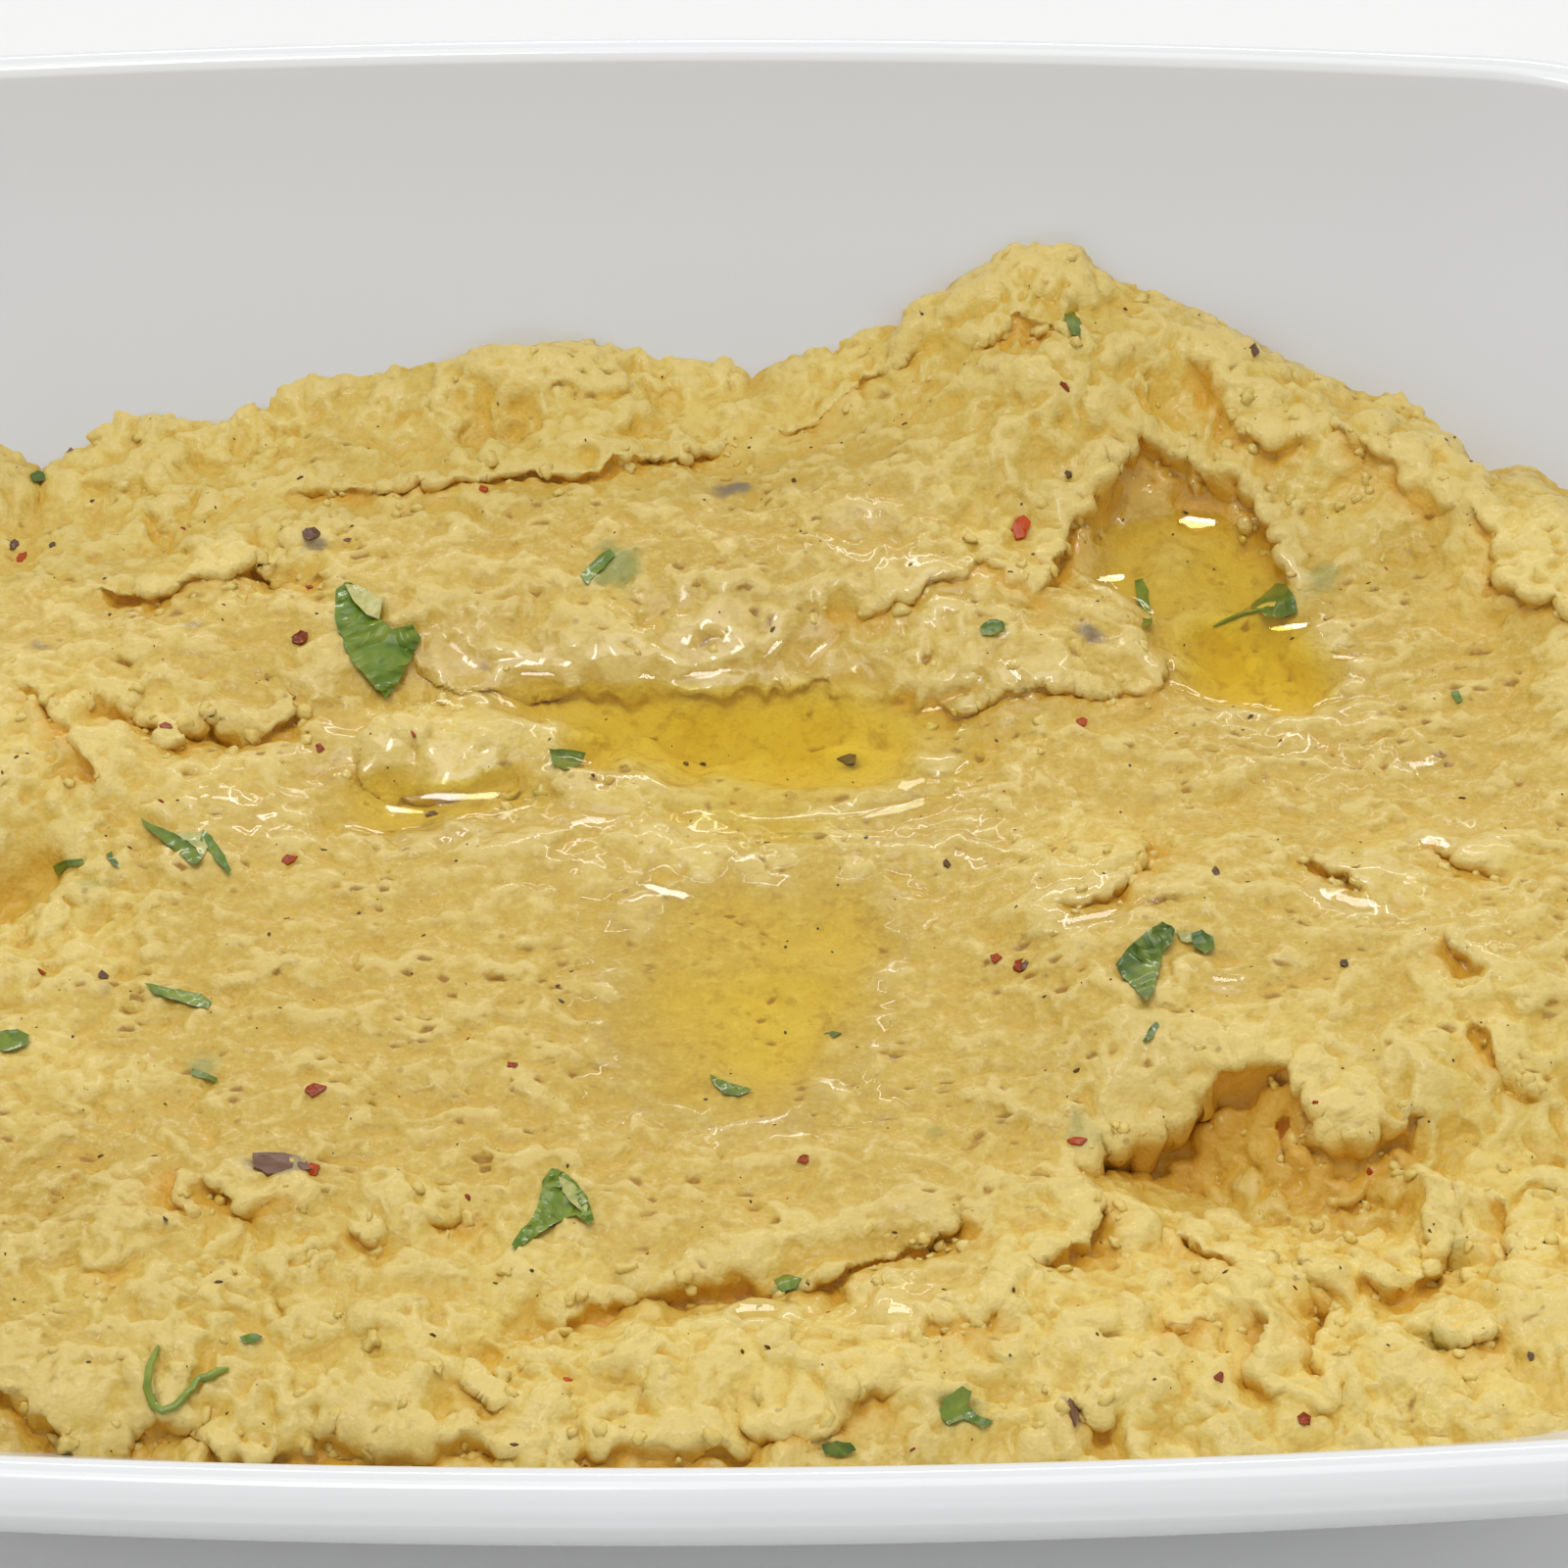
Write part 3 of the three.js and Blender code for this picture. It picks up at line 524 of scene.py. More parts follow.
def dip_relief():
    z = broad(X, Y)
    # meet the back wall along the skyline
    sky = np.array([on_wall(u, v) for u, v in SKYLINE])
    order = np.argsort(sky[:, 0])
    col = np.interp(gx, sky[order, 0], sky[order, 2])
    at = []
    for i, x in enumerate(gx):
        ys = gy[gy > 0]
        w = np.interp(ys, gy, WZ[:, i])
        at.append(ys[np.argmax(w > col[i])])
    at = np.array(at)
    off = (col - broad(gx, at))[None, :]
    even = blur(off, 9)
    d = np.clip(at[None, :] - Y + 2.0 * noise(X, Y, 7, 21), 0, None)
    z = z + (even * np.exp(-(d**2) / 200.0) + (off - even) * np.exp(-(d**2) / 14.0)) * smooth(-85, -66, X) * smooth(88, 76, X)
    wx = X + 1.3 * fbm(X, Y, 6, 31) + 0.4 * noise(X, Y, 1.8, 32)
    wy = Y + 1.3 * fbm(X, Y, 6, 41) + 0.4 * noise(X, Y, 1.8, 42)
    # beds and banks of the pools
    pool = np.zeros(X.shape)
    for level, parts in POOLS.values():
        uneven = 0.8 * noise(X, Y, 5, 81) + 0.5 * noise(X, Y, 2.2, 82)
        sides = [pool_distance(X, Y, pts, level) + 0.16 * shore * noise(X, Y, 10, 95) + uneven for pts, _, shore in parts]
        bed = 1 + 0.45 * noise(X, Y, 5.5, 87) + 0.25 * noise(X, Y, 2.4, 88)
        floor_z = np.full(X.shape, level)
        for s, (_, deep, shore) in zip(sides, parts):
            z = z - (2.2 if deep == 2.6 else 0.75) * smooth(-11, 0.5, s)
            floor_z = np.minimum(floor_z, level - deep * bed * smooth(-0.3, shore, s))
        s = np.max(sides, 0)
        z = z + smooth(-6, -1, s) * (np.maximum(z, level + 0.04 + 0.05 * np.clip(-s, 0, 4)) - z)
        w = smooth(-1.6, 0.9, s)
        z = z * (1 - w) + floor_z * w
        pool = np.maximum(pool, smooth(-0.8, 1.5, s))
    # crumbliness
    crumb = np.full(X.shape, 0.06)
    for u, v, lz, reach, amount in CRUMBLE:
        cx, cy = plan(u, v, lz)
        crumb = np.maximum(crumb, amount * np.exp(-((X - cx) ** 2 + (Y - cy) ** 2) / (1.1 * reach**2)))
    far = smooth(60, 74, np.abs(X - 4))
    crumb = np.clip(np.maximum(crumb, far * (0.5 + 0.5 * noise(X, Y, 14, 3))), 0, 1)
    crumb = np.clip(crumb * (1 + 0.5 * noise(wx, wy, 7, 4)), 0, 1) * (1 - 0.6 * pool)
    # lumps and pits
    for u, v, lz, rx, ry, deg, rise in LUMPS:
        cx, cy = plan(u, v, lz)
        p, q = local(wx * 0.5 + X * 0.5, wy * 0.5 + Y * 0.5, (cx, cy, rx, ry, deg))
        z = z + rise * np.exp(-((p * p + q * q) ** 1.5))
    # torn edges
    dx, dy = np.zeros(X.shape), np.zeros(X.shape)
    tear = 1.3 * noise(X, Y, 6.0, 51) + 0.9 * np.abs(noise(X, Y, 3.4, 52)) + 0.45 * noise(X, Y, 1.5, 53) - 0.35
    edge, under = np.zeros(X.shape), np.zeros(X.shape)
    for pts, lz, rise, lr, fall, lf, over in LEDGES:
        p, length = polyline(pts, lz)
        pad = 4 * max(lr, lf)
        j = (X > p[:, 0].min() - pad) & (X < p[:, 0].max() + pad) & (Y > p[:, 1].min() - pad) & (Y < p[:, 1].max() + pad)
        d, s, nx, ny = to_line(X[j], Y[j], p)
        d = d + tear[j] * min(1.0, length / 12) * (1 + 0.12 * fall if fall < 4 else 0.95)
        e = min(0.35, 3.0 / length)
        cut = 1.2 * (1 + noise(X[j], Y[j], 3.2, 58)) * (1.0 if fall > 2.6 else 0.15) * min(1.0, length / 12) / length
        t = smooth(0, e, s - cut) * smooth(1, 1 - e, s + cut)
        width = 0.20 + 0.40 * smooth(-0.3, 0.7, noise(X[j], Y[j], 8, 57))
        hi = 0.5 + 0.5 * np.tanh(d / width)
        up, dn = np.exp(-np.clip(d, 0, None) / lr), np.exp(np.clip(d, None, 0) / lf)
        z[j] += t * (0.16 * rise * up * hi - 1.0 * fall * dn * (1 - hi))
        o = 0.85 * t * over * (np.exp(-np.clip(d, 0, None) / 1.8) * hi - 0.5 * np.exp(np.clip(d, None, 0) / 1.0) * (1 - hi))
        dx[j] -= nx * o
        dy[j] -= ny * o
        strong = min(1.0, fall / 1.3)
        edge[j] = np.maximum(edge[j], t * strong * np.exp(-np.abs(d) / 2.0))
        # where shade falls below each ledge, later painted as golden shade in the paste's colour
        under[j] = np.maximum(under[j], t * strong * np.exp(np.clip(d, None, 0) / (1.7 if fall < 2.6 else 4.2)) * (1 - hi))
    hollow = smooth(0.04, 0.25, under) * smooth(0.55, 0.25, edge)
    for _ in range(3):
        z = z + hollow * (blur(z, 4) - z)
    # soft uneven lumps where the paste is crumbly, a torn grain there and along the broken edges
    rough = np.clip(np.maximum(crumb, 0.8 * edge), 0, 1) * (1 - 0.6 * pool)
    jx, jy = wx + 0.7 * noise(X, Y, 1.7, 33), wy + 0.7 * noise(X, Y, 1.7, 35)
    drag = smooth(20, 45, X) * smooth(-10, -30, Y)
    p, q = (X + Y) * 0.7, (Y - X) * 0.7
    z = z + crumb * (1.15 * fbm(wx, wy, 8.0, 11, octaves=2) + 1.15 * blobs(wx, wy, 6.2, 7, power=1.0, stretch=2.4) - 0.42)
    z = z + crumb * drag * (1.0 * noise(p + 0.5 * wx, q * 0.35, 5.0, 12) - 0.7 * smooth(0.16, 0.0, np.abs(noise(p + 0.6 * wx, q * 0.45 + 0.3 * wy, 6.0, 19))))
    z = z + rough * (0.75 * blobs(jx, jy, 3.1, 107, power=0.9, stretch=2.4) - 0.28)
    z = z + (0.20 + 0.52 * rough) * (1 - 0.4 * pool) * (0.28 - np.abs(fbm(wx, wy, 2.0, 207, octaves=2)))
    z = z + (0.07 + 0.10 * rough) * noise(X, Y, 0.95, 14)
    # small holes torn open between the crumbs
    z = z - (0.10 + 0.36 * rough) * blobs(jx, jy, 2.4, 407, fill=0.30, least=0.14, most=0.42, stretch=2.2, power=0.7)
    # fine cracks where the crumbs part
    z = z - (0.03 + 0.40 * rough) * smooth(0.14, 0.0, np.abs(fbm(wx, wy, 4.4, 16))) * smooth(-0.1, 0.6, noise(X, Y, 6, 17))
    # swept plates: long shallow ripples, a soft unevenness, small pits
    z = z + (1 - crumb) * (1 - 0.6 * pool) * (0.52 * noise(X, Y, 11, 12) + 0.42 * fbm(wx, wy * 1.6, 4.6, 13))
    pit = blobs(wx * 0.6 + X * 0.4, (wy * 0.6 + Y * 0.4) * 2.0, 2.3, 307, fill=0.42, least=0.10, most=0.32, stretch=1.3, power=0.8)
    pit = pit * (1 - 0.6 * crumb) * smooth(-0.55, 0.5, noise(X, Y, 9, 18))
    z = z - 0.50 * pit
    return z, dx, dy, crumb, edge, under, pool, pit


Z, DX, DY, CRUMB, EDGE, UNDER, POOL, PIT = dip_relief()


def wet_map():
    w = smooth(0.0, 0.9, POOL) * 0.9
    for level, parts in POOLS.values():
        for pts, deep, shore in parts:
            s = pool_distance(X, Y, pts, level)
            near = 0.12 if deep == 1.45 else 1.0
            w = np.maximum(w, near * smooth(-3.2, -0.2, s + 1.2 * noise(X, Y, 3.0, 83)))
    for u, v, lz, reach, amount in SHINE:
        cx, cy = plan(u, v, lz)
        w = np.maximum(w, amount * np.exp(-((X - cx) ** 2 + (Y - cy) ** 2) / (0.8 * reach**2)))
    return np.clip(w * (0.8 + 0.5 * noise(X, Y, 4, 84)), 0, 1)


WET = wet_map()


def mirror(here, which):
    """The way a film must face at a place to mirror a light to the eye."""
    to_eye, to_light = np.array(POS) - here, np.array(LAMPS[which]) - here
    n = to_eye / np.linalg.norm(to_eye) + to_light / np.linalg.norm(to_light)
    return n / np.linalg.norm(n)


def evened(z, where):
    """The surface with a small even bed under each film of oil."""
    z, wet = z.copy(), np.zeros(z.shape)
    ragged = 0.30 * noise(X, Y, 1.3, 93) + 0.22 * noise(X, Y, 0.7, 94)
    for u, v, a, b, deg, which in GLINTS:
        h = 28.0
        for _ in range(8):
            cx, cy = plan(u, v, h)
            i, j = int(round((cy - gy[0]) / STEP)), int(round((cx - gx[0]) / STEP))
            h = float(z[i - 1 : i + 2, j - 1 : j + 2].mean())
        if not where[i, j]:
            continue
        n = mirror(np.array((cx, cy, h)), which)
        p, q = local(X, Y, (cx, cy, 1.35 * a, 1.1 * b + 0.12, deg))
        r = np.hypot(p, q)
        m = smooth(1.45, 0.85, r + 0.6 * ragged) * (r < 2.2)
        h = float((z * m).sum() / max(m.sum(), 1e-6))
        flat = h - (n[0] * (X - cx) + n[1] * (Y - cy)) / n[2]
        z = z + m * (flat - z)
        wet = np.maximum(wet, smooth(2.0, 1.0, r + ragged) * (r < 3))
    return z, wet


Z = Z + 0.7 * WET * (blur(Z, 1) - Z)          # oil rounds off what it covers
Z, _film = evened(Z, POOL < 0.6)
WET = np.maximum(WET, _film)
# sky hidden by the relief, later painted into the paste's colour as golden shade
OCC = occlusion(Z)
DEEP = np.zeros(X.shape)                      # how far the bed lies under the oil
for _level, _parts in POOLS.values():
    _near = np.max([pool_distance(X, Y, _p, _level) for _p, _, _ in _parts], 0)
    DEEP = np.maximum(DEEP, np.where(_near > -1.5, np.clip(_level - Z, 0, 2), 0))
# how far a place stands out, later painted as highlight on bumps and shade in dips
CONV = np.clip((Z - blur(Z, 3)) * 1.6 + (Z - blur(Z, 8)) * 0.4, -1, 1)


def stain_map(kind):
    m = np.zeros(X.shape)
    for u, v, lz, rx, ry, deg, amount, k in STAINS:
        if k == kind:
            cx, cy = plan(u, v, lz)
            p, q = local(X + 0.8 * noise(X, Y, 1.6, 85), Y + 0.8 * noise(X, Y, 1.6, 86), (cx, cy, rx, ry, deg))
            m = np.maximum(m, amount * np.exp(-((p * p + q * q) ** 1.4)))
    return m


GREEN, GREY = stain_map(1), stain_map(0)
# painted light and shade by place, with a random drift of tone
LIGHT_AND_TONE = np.zeros(X.shape)
for _u, _v, _lz, _r, _a in LIGHT_AND_TONE_PATCHES:
    _cx, _cy = plan(_u, _v, _lz)
    LIGHT_AND_TONE += _a * np.exp(-((X - _cx) ** 2 + (Y - _cy) ** 2) / _r**2)
LIGHT_AND_TONE = np.clip(LIGHT_AND_TONE + 0.35 * noise(X, Y, 13, 89), -1.3, 1.3)


def shore_distance(depth, most=14):
    """Distance from the shore into the pool, negative outside, in mm, up to some cells."""
    far = most * STEP
    out = []
    for side in (depth > 0, depth <= 0):
        d = np.where(side, far, 0.0)
        for _ in range(most):
            for sy, sx in ((0, 1), (1, 0), (1, 1), (1, -1)):
                w = STEP * math.hypot(sx, sy)
                d = np.minimum(d, np.minimum(np.roll(d, (sy, sx), (0, 1)), np.roll(d, (-sy, -sx), (0, 1))) + w)
        out.append(d)
    return out[0] - out[1]


# ------------------------------------------------------------------ helpers
def mesh_object(name, verts_mm, faces, smooth_faces=True):
    me = bpy.data.meshes.new(name)
    v = np.asarray(verts_mm, dtype=np.float32) * MM
    if isinstance(faces, np.ndarray):
        n, k = faces.shape
        me.vertices.add(len(v))
        me.vertices.foreach_set("co", v.ravel())
        me.loops.add(n * k)
        me.loops.foreach_set("vertex_index", faces.astype(np.int32).ravel())
        me.polygons.add(n)
        me.polygons.foreach_set("loop_start", np.arange(0, n * k, k, dtype=np.int32))
        me.update(calc_edges=True)
    else:
        me.from_pydata([tuple(p) for p in v], [], faces)
    me.validate()
    if smooth_faces:
        me.polygons.foreach_set("use_smooth", np.ones(len(me.polygons), dtype=bool))
    me.update()
    o = bpy.data.objects.new(name, me)
    bpy.context.scene.collection.objects.link(o)
    return o


def attribute(o, name, values):
    a = o.data.attributes.new(name, "FLOAT", "POINT")
    a.data.foreach_set("value", np.asarray(values, dtype=np.float32).ravel())


def apply_modifiers(o):
    bpy.context.view_layer.update()
    dg = bpy.context.evaluated_depsgraph_get()
    me = bpy.data.meshes.new_from_object(o.evaluated_get(dg), preserve_all_data_layers=True, depsgraph=dg)
    old = o.data
    o.modifiers.clear()
    o.data = me
    bpy.data.meshes.remove(old)


def flood(cell, seed):
    """The one connected sheet of cells around a place."""
    seen = np.zeros_like(cell)
    seen[seed] = True
    while True:
        g = seen.copy()
        g[1:] |= seen[:-1]; g[:-1] |= seen[1:]; g[:, 1:] |= seen[:, :-1]; g[:, :-1] |= seen[:, 1:]
        g &= cell
        if (g == seen).all():
            return g
        seen = g


# --------------------------------------------------------------------- dip
def grid_normals():
    gxyz = np.stack([X + DX, Y + DY, Z], 2)
    n = np.cross(np.gradient(gxyz, axis=1), np.gradient(gxyz, axis=0))
    return n / (np.linalg.norm(n, axis=2, keepdims=True) + 1e-9)


NOR = grid_normals()


def dip_object():
    keep = (Z > WZ - 1.6) & (INS > 4.5)
    ny, nx = X.shape
    idx = np.arange(ny * nx).reshape(ny, nx)
    cell = flood(keep[:-1, :-1] & keep[1:, :-1] & keep[:-1, 1:] & keep[1:, 1:], (ny // 2, nx // 2))
    quads = np.stack([idx[:-1, :-1][cell], idx[:-1, 1:][cell], idx[1:, 1:][cell], idx[1:, :-1][cell]], 1)
    used = np.unique(quads)
    remap = np.full(ny * nx, -1)
    remap[used] = np.arange(len(used))
    co = np.stack([(X + DX).ravel()[used], (Y + DY).ravel()[used], Z.ravel()[used]], 1)
    q = remap[quads]
    o = mesh_object("hummus_dip", co, q)
    # the occlusion, under-ledge and convexity values carry painted shade and highlight into the paste's colour
    for name, values in (("wet", WET), ("crumb", CRUMB), ("under", UNDER * (1 - 0.7 * POOL)), ("pit", PIT), ("green", GREEN), ("grey", GREY),
                         ("pool", DEEP), ("tone", LIGHT_AND_TONE), ("painted_shade", OCC * (1 - 0.7 * POOL)), ("painted_relief_light", CONV)):
        attribute(o, name, values.ravel()[used])
    # the steep faces made finer, then roughened
    bm = bmesh.new()
    bm.from_mesh(o.data)
    for _ in range(2):
        long = [e for e in bm.edges if e.calc_length() > 0.62 * MM]
        bmesh.ops.subdivide_edges(bm, edges=long, cuts=1, use_grid_fill=True)
    bmesh.ops.triangulate(bm, faces=[f for f in bm.faces if len(f.verts) > 4])
    bm.to_mesh(o.data)
    bm.free()
    me = o.data
    n = len(me.vertices)

    def read(name):
        v = np.empty(n, np.float32)
        me.attributes[name].data.foreach_get("value", v)
        return v

    co, nor = np.empty(3 * n, np.float32), np.empty(3 * n, np.float32)
    me.vertices.foreach_get("co", co)
    me.vertices.foreach_get("normal", nor)
    co, nor = co.reshape(-1, 3) / MM, nor.reshape(-1, 3)
    steep = np.clip(1.05 - nor[:, 2], 0, 0.8) / 0.8 * (1 - 0.6 * read("wet"))
    warp = np.stack([noise3(co, 2.6, k) for k in (61, 62, 63)], 1) * 0.6
    a1, w1 = cells3(co + warp, 2.4, 71)
    a3, w3 = cells3(co + 1.6 * warp, 4.4, 73)
    push = 0.55 * (0.5 - a3**2) * (0.4 + w3) + 0.5 * (0.5 - a1**2) * (0.4 + w1)
    push = steep * (push + 0.60 * noise3(co, 2.9, 74) + 0.45 * noise3(co, 1.5, 75) + 0.25 * noise3(co, 0.8, 76))
    co = co + nor * push[:, None]
    me.vertices.foreach_set("co", (co * MM).astype(np.float32).ravel())
    # painted light follows the push: faces pushed out get less painted shade and more painted highlight
    me.attributes["painted_shade"].data.foreach_set("value", read("painted_shade") - np.float32(0.25) * push.astype(np.float32))
    me.attributes["painted_relief_light"].data.foreach_set("value", read("painted_relief_light") + np.float32(0.8) * push.astype(np.float32))
    me.polygons.foreach_set("use_smooth", np.ones(len(me.polygons), dtype=bool))
    me.update()
    print("dip before thinning", len(me.polygons))
    return o


def close_below(o):
    """Closes the sheet below: down the glaze to the floor, and over it."""
    bm = bmesh.new()
    bm.from_mesh(o.data)
    edges = [e for e in bm.edges if e.is_boundary]
    for drop in (0.30, 0.65, 1.0):
        got = bmesh.ops.extrude_edge_only(bm, edges=edges)["geom"]
        verts = [g for g in got if isinstance(g, bmesh.types.BMVert)]
        edges = [g for g in got if isinstance(g, bmesh.types.BMEdge) and all(v in got for v in g.verts) and g.is_boundary]
        if drop == 0.30:
            rim = {v: tuple(c / MM for c in v.co) for v in verts}
        else:
            rim = {v: rim[next(w for e in v.link_edges for w in (e.other_vert(v),) if w in rim)] for v in verts}
        x, y, z = np.array([rim[v] for v in verts]).T
        level = z + (FLOOR + 0.25 - z) * drop
        f = np.ones(len(x))
        for _ in range(70):                       # drawn in until clear of the glaze
            f = np.where((wall_z(x * f, y * f) > level - 0.15) & (f > 0.3), f - 0.01, f)
        for v, px, py, pz in zip(verts, x * f, y * f, level):
            v.co = (px * MM, py * MM, pz * MM)
    mid = bm.verts.new((0, 0, (FLOOR + 0.25) * MM))
    for e in edges:
        bm.faces.new((e.verts[0], e.verts[1], mid))
    bmesh.ops.recalc_face_normals(bm, faces=bm.faces[:])
    for f in bm.faces:
        f.smooth = True
    bm.to_mesh(o.data)
    bm.free()


dip = dip_object()
_full = len(dip.data.polygons) * 2
_m = dip.modifiers.new("dec", "DECIMATE")
_m.ratio = 176000 / _full
_m.use_collapse_triangulate = True
apply_modifiers(dip)
close_below(dip)
dip.data.calc_loop_triangles()
print("dip triangles", len(dip.data.loop_triangles))
bpy.context.view_layer.update()
TREE = BVHTree.FromObject(dip, bpy.context.evaluated_depsgraph_get())


def hit(u, v):
    """Where the sight line of a pixel meets the dip, in mm, and how far along."""
    d = sight(u, v)
    p, n, _, t = TREE.ray_cast(Vector(POS * MM), Vector(d))
    if p is None:
        return None, None, None
    return np.array(p) / MM, np.array(n), t / MM


def drop(x, y):
    """The dip's surface below a place of the plan."""
    p, n, _, t = TREE.ray_cast(Vector((x * MM, y * MM, 0.1)), Vector((0, 0, -1)))
    if p is None:
        return None, None
    return np.array(p) / MM, np.array(n)


# ------------------------------------------------------------------- curds
def ball(rings):
    bm = bmesh.new()
    bmesh.ops.create_icosphere(bm, subdivisions=rings, radius=1.0)
    v = np.array([p.co for p in bm.verts])
    f = np.array([[p.index for p in t.verts] for t in bm.faces])
    bm.free()
    return v, f


def turned(rng):
    q = rng.normal(size=4)
    w, x, y, z = q / np.linalg.norm(q)
    return np.array([[1 - 2 * (y * y + z * z), 2 * (x * y - z * w), 2 * (x * z + y * w)],
                     [2 * (x * y + z * w), 1 - 2 * (x * x + z * z), 2 * (y * z - x * w)],
                     [2 * (x * z - y * w), 2 * (y * z + x * w), 1 - 2 * (x * x + y * y)]])


def curds_object():
    """Torn crumbs half sunk in the paste, along the broken edges."""
    rng = np.random.default_rng(11)
    weight = (1.3 * EDGE**1.5 + 1.0 * UNDER**1.5 + 0.10 * np.clip(CRUMB - 0.3, 0, None)) * (1 - POOL) * (Z > WZ + 0.8) * (INS > 8)
    weight *= 0.35 + smooth(70, 55, np.abs(X - 8))
    chance = (weight / weight.sum()).ravel()
    parts = {k: [] for k in ("co", "faces", "painted_shade", "painted_relief_light", "wet", "tone")}
    start = 0
    for rings, count, least, most in ((2, 520, 0.24, 0.72),):
        v, f = ball(rings)
        for i in rng.choice(chance.size, size=count, replace=False, p=chance):
            p = np.array([(X + DX).ravel()[i], (Y + DY).ravel()[i], Z.ravel()[i]])
            n = NOR.reshape(-1, 3)[i]
            r = least + (most - least) * rng.random() ** 1.6
            bump = np.ones(len(v))
            for size, rate in ((0.26, 1.9), (0.20, 3.1), (0.12, 5.0)):
                bump += size * np.sin(v @ (rng.normal(size=3) * rate) + rng.uniform(0, 6))
            w = (v * bump[:, None] * rng.uniform(0.7, 1.3, 3)) @ turned(rng).T
            out = w @ n
            w = (w - 0.25 * out[:, None] * n) * r
            parts["co"].append(p - n * (0.12 * r) + w)
            parts["faces"].append(f + start)
            # painted shade on each crumb's underside and painted highlight on its outer side
            parts["painted_shade"].append(np.full(len(v), 0.7 * OCC.ravel()[i]) - 0.05 * out)
            parts["painted_relief_light"].append(0.10 + 0.20 * out)
            parts["wet"].append(np.full(len(v), WET.ravel()[i]))
            parts["tone"].append(np.full(len(v), LIGHT_AND_TONE.ravel()[i]))
            start += len(v)
    o = mesh_object("hummus_curds", np.concatenate(parts["co"]), np.concatenate(parts["faces"]))
    for name in ("painted_shade", "painted_relief_light", "wet", "tone"):
        attribute(o, name, np.concatenate(parts[name]))
    attribute(o, "crumb", np.ones(start))
    return o


curds = curds_object()


# -------------------------------------------------------------------- dish
def dish_object():
    nl, nc, ns = 20, 22, 12
    rings = []
    out = [p for p in wall_section(14) if p[2] <= FOOT_LEAN + 0.5]
    fx = out[-1][0] + 0.9
    rings.append((fx + FOOT_WIDTH + 6.0, FOOT_RECESS + 0.05))
    for t in np.linspace(0, 90, 5):                       # inner fillet of the foot ring
        c, s = math.cos(math.radians(t)), math.sin(math.radians(t))
        rings.append((fx + FOOT_WIDTH + 1.0 - 0.9 * s, FOOT_RECESS - 0.9 * (1 - c)))
    for t in np.linspace(0, 90, 4):
        c, s = math.cos(math.radians(t)), math.sin(math.radians(t))
        rings.append((fx + FOOT_WIDTH - 0.5 * s + 0.1, 0.5 * (1 - s)))
    for t in np.linspace(0, 90, 5):
        c, s = math.cos(math.radians(t)), math.sin(math.radians(t))
        rings.append((fx + 0.6 * (1 - s), 0.6 * (1 - c)))
    for i, z, p in reversed(out):
        rings.append((i, z))
    n = 16
    for k in range(1, n):
        t = math.radians(180 + LEAN_TOP - 180 * k / n)
        rings.append((BEAD + BEAD * math.cos(t), HEIGHT - BEAD + BEAD * math.sin(t)))
    for i, z in inside_section(14):
        rings.append((i, z))
    rings.append((60.0, FLOOR))
    co, faces = [], []
    loops = [np.column_stack([outline(i, nl, nc, ns), np.full(4 * (nl + nc + ns), z)]) for i, z in rings]
    m = len(loops[0])
    co = np.concatenate(loops + [np.array([[0, 0, FOOT_RECESS + 0.05]]), np.array([[0, 0, FLOOR]])])
    for r in range(len(loops) - 1):
        for j in range(m):
            k = (j + 1) % m
            faces.append((r * m + j, r * m + k, (r + 1) * m + k, (r + 1) * m + j))
    low, top = len(loops) * m, len(loops) * m + 1
    for j in range(m):
        k = (j + 1) % m
        faces.append((low, k, j))
        faces.append((top, (len(loops) - 1) * m + j, (len(loops) - 1) * m + k))
    o = mesh_object("dish_glazed", co, faces)
    foot = np.zeros(len(co))
    foot[co[:, 2] < 0.35] = 1.0
    attribute(o, "bare", foot)
    # faces inside the dish, whose glaze is painted darker as shade
    inner = np.zeros(len(co))
    first = (len(rings) - len(inside_section(14)) - 1) * m
    inner[first:len(loops) * m] = 1.0
    inner[top] = 1.0
    attribute(o, "inner", inner)
    return o


dish = dish_object()


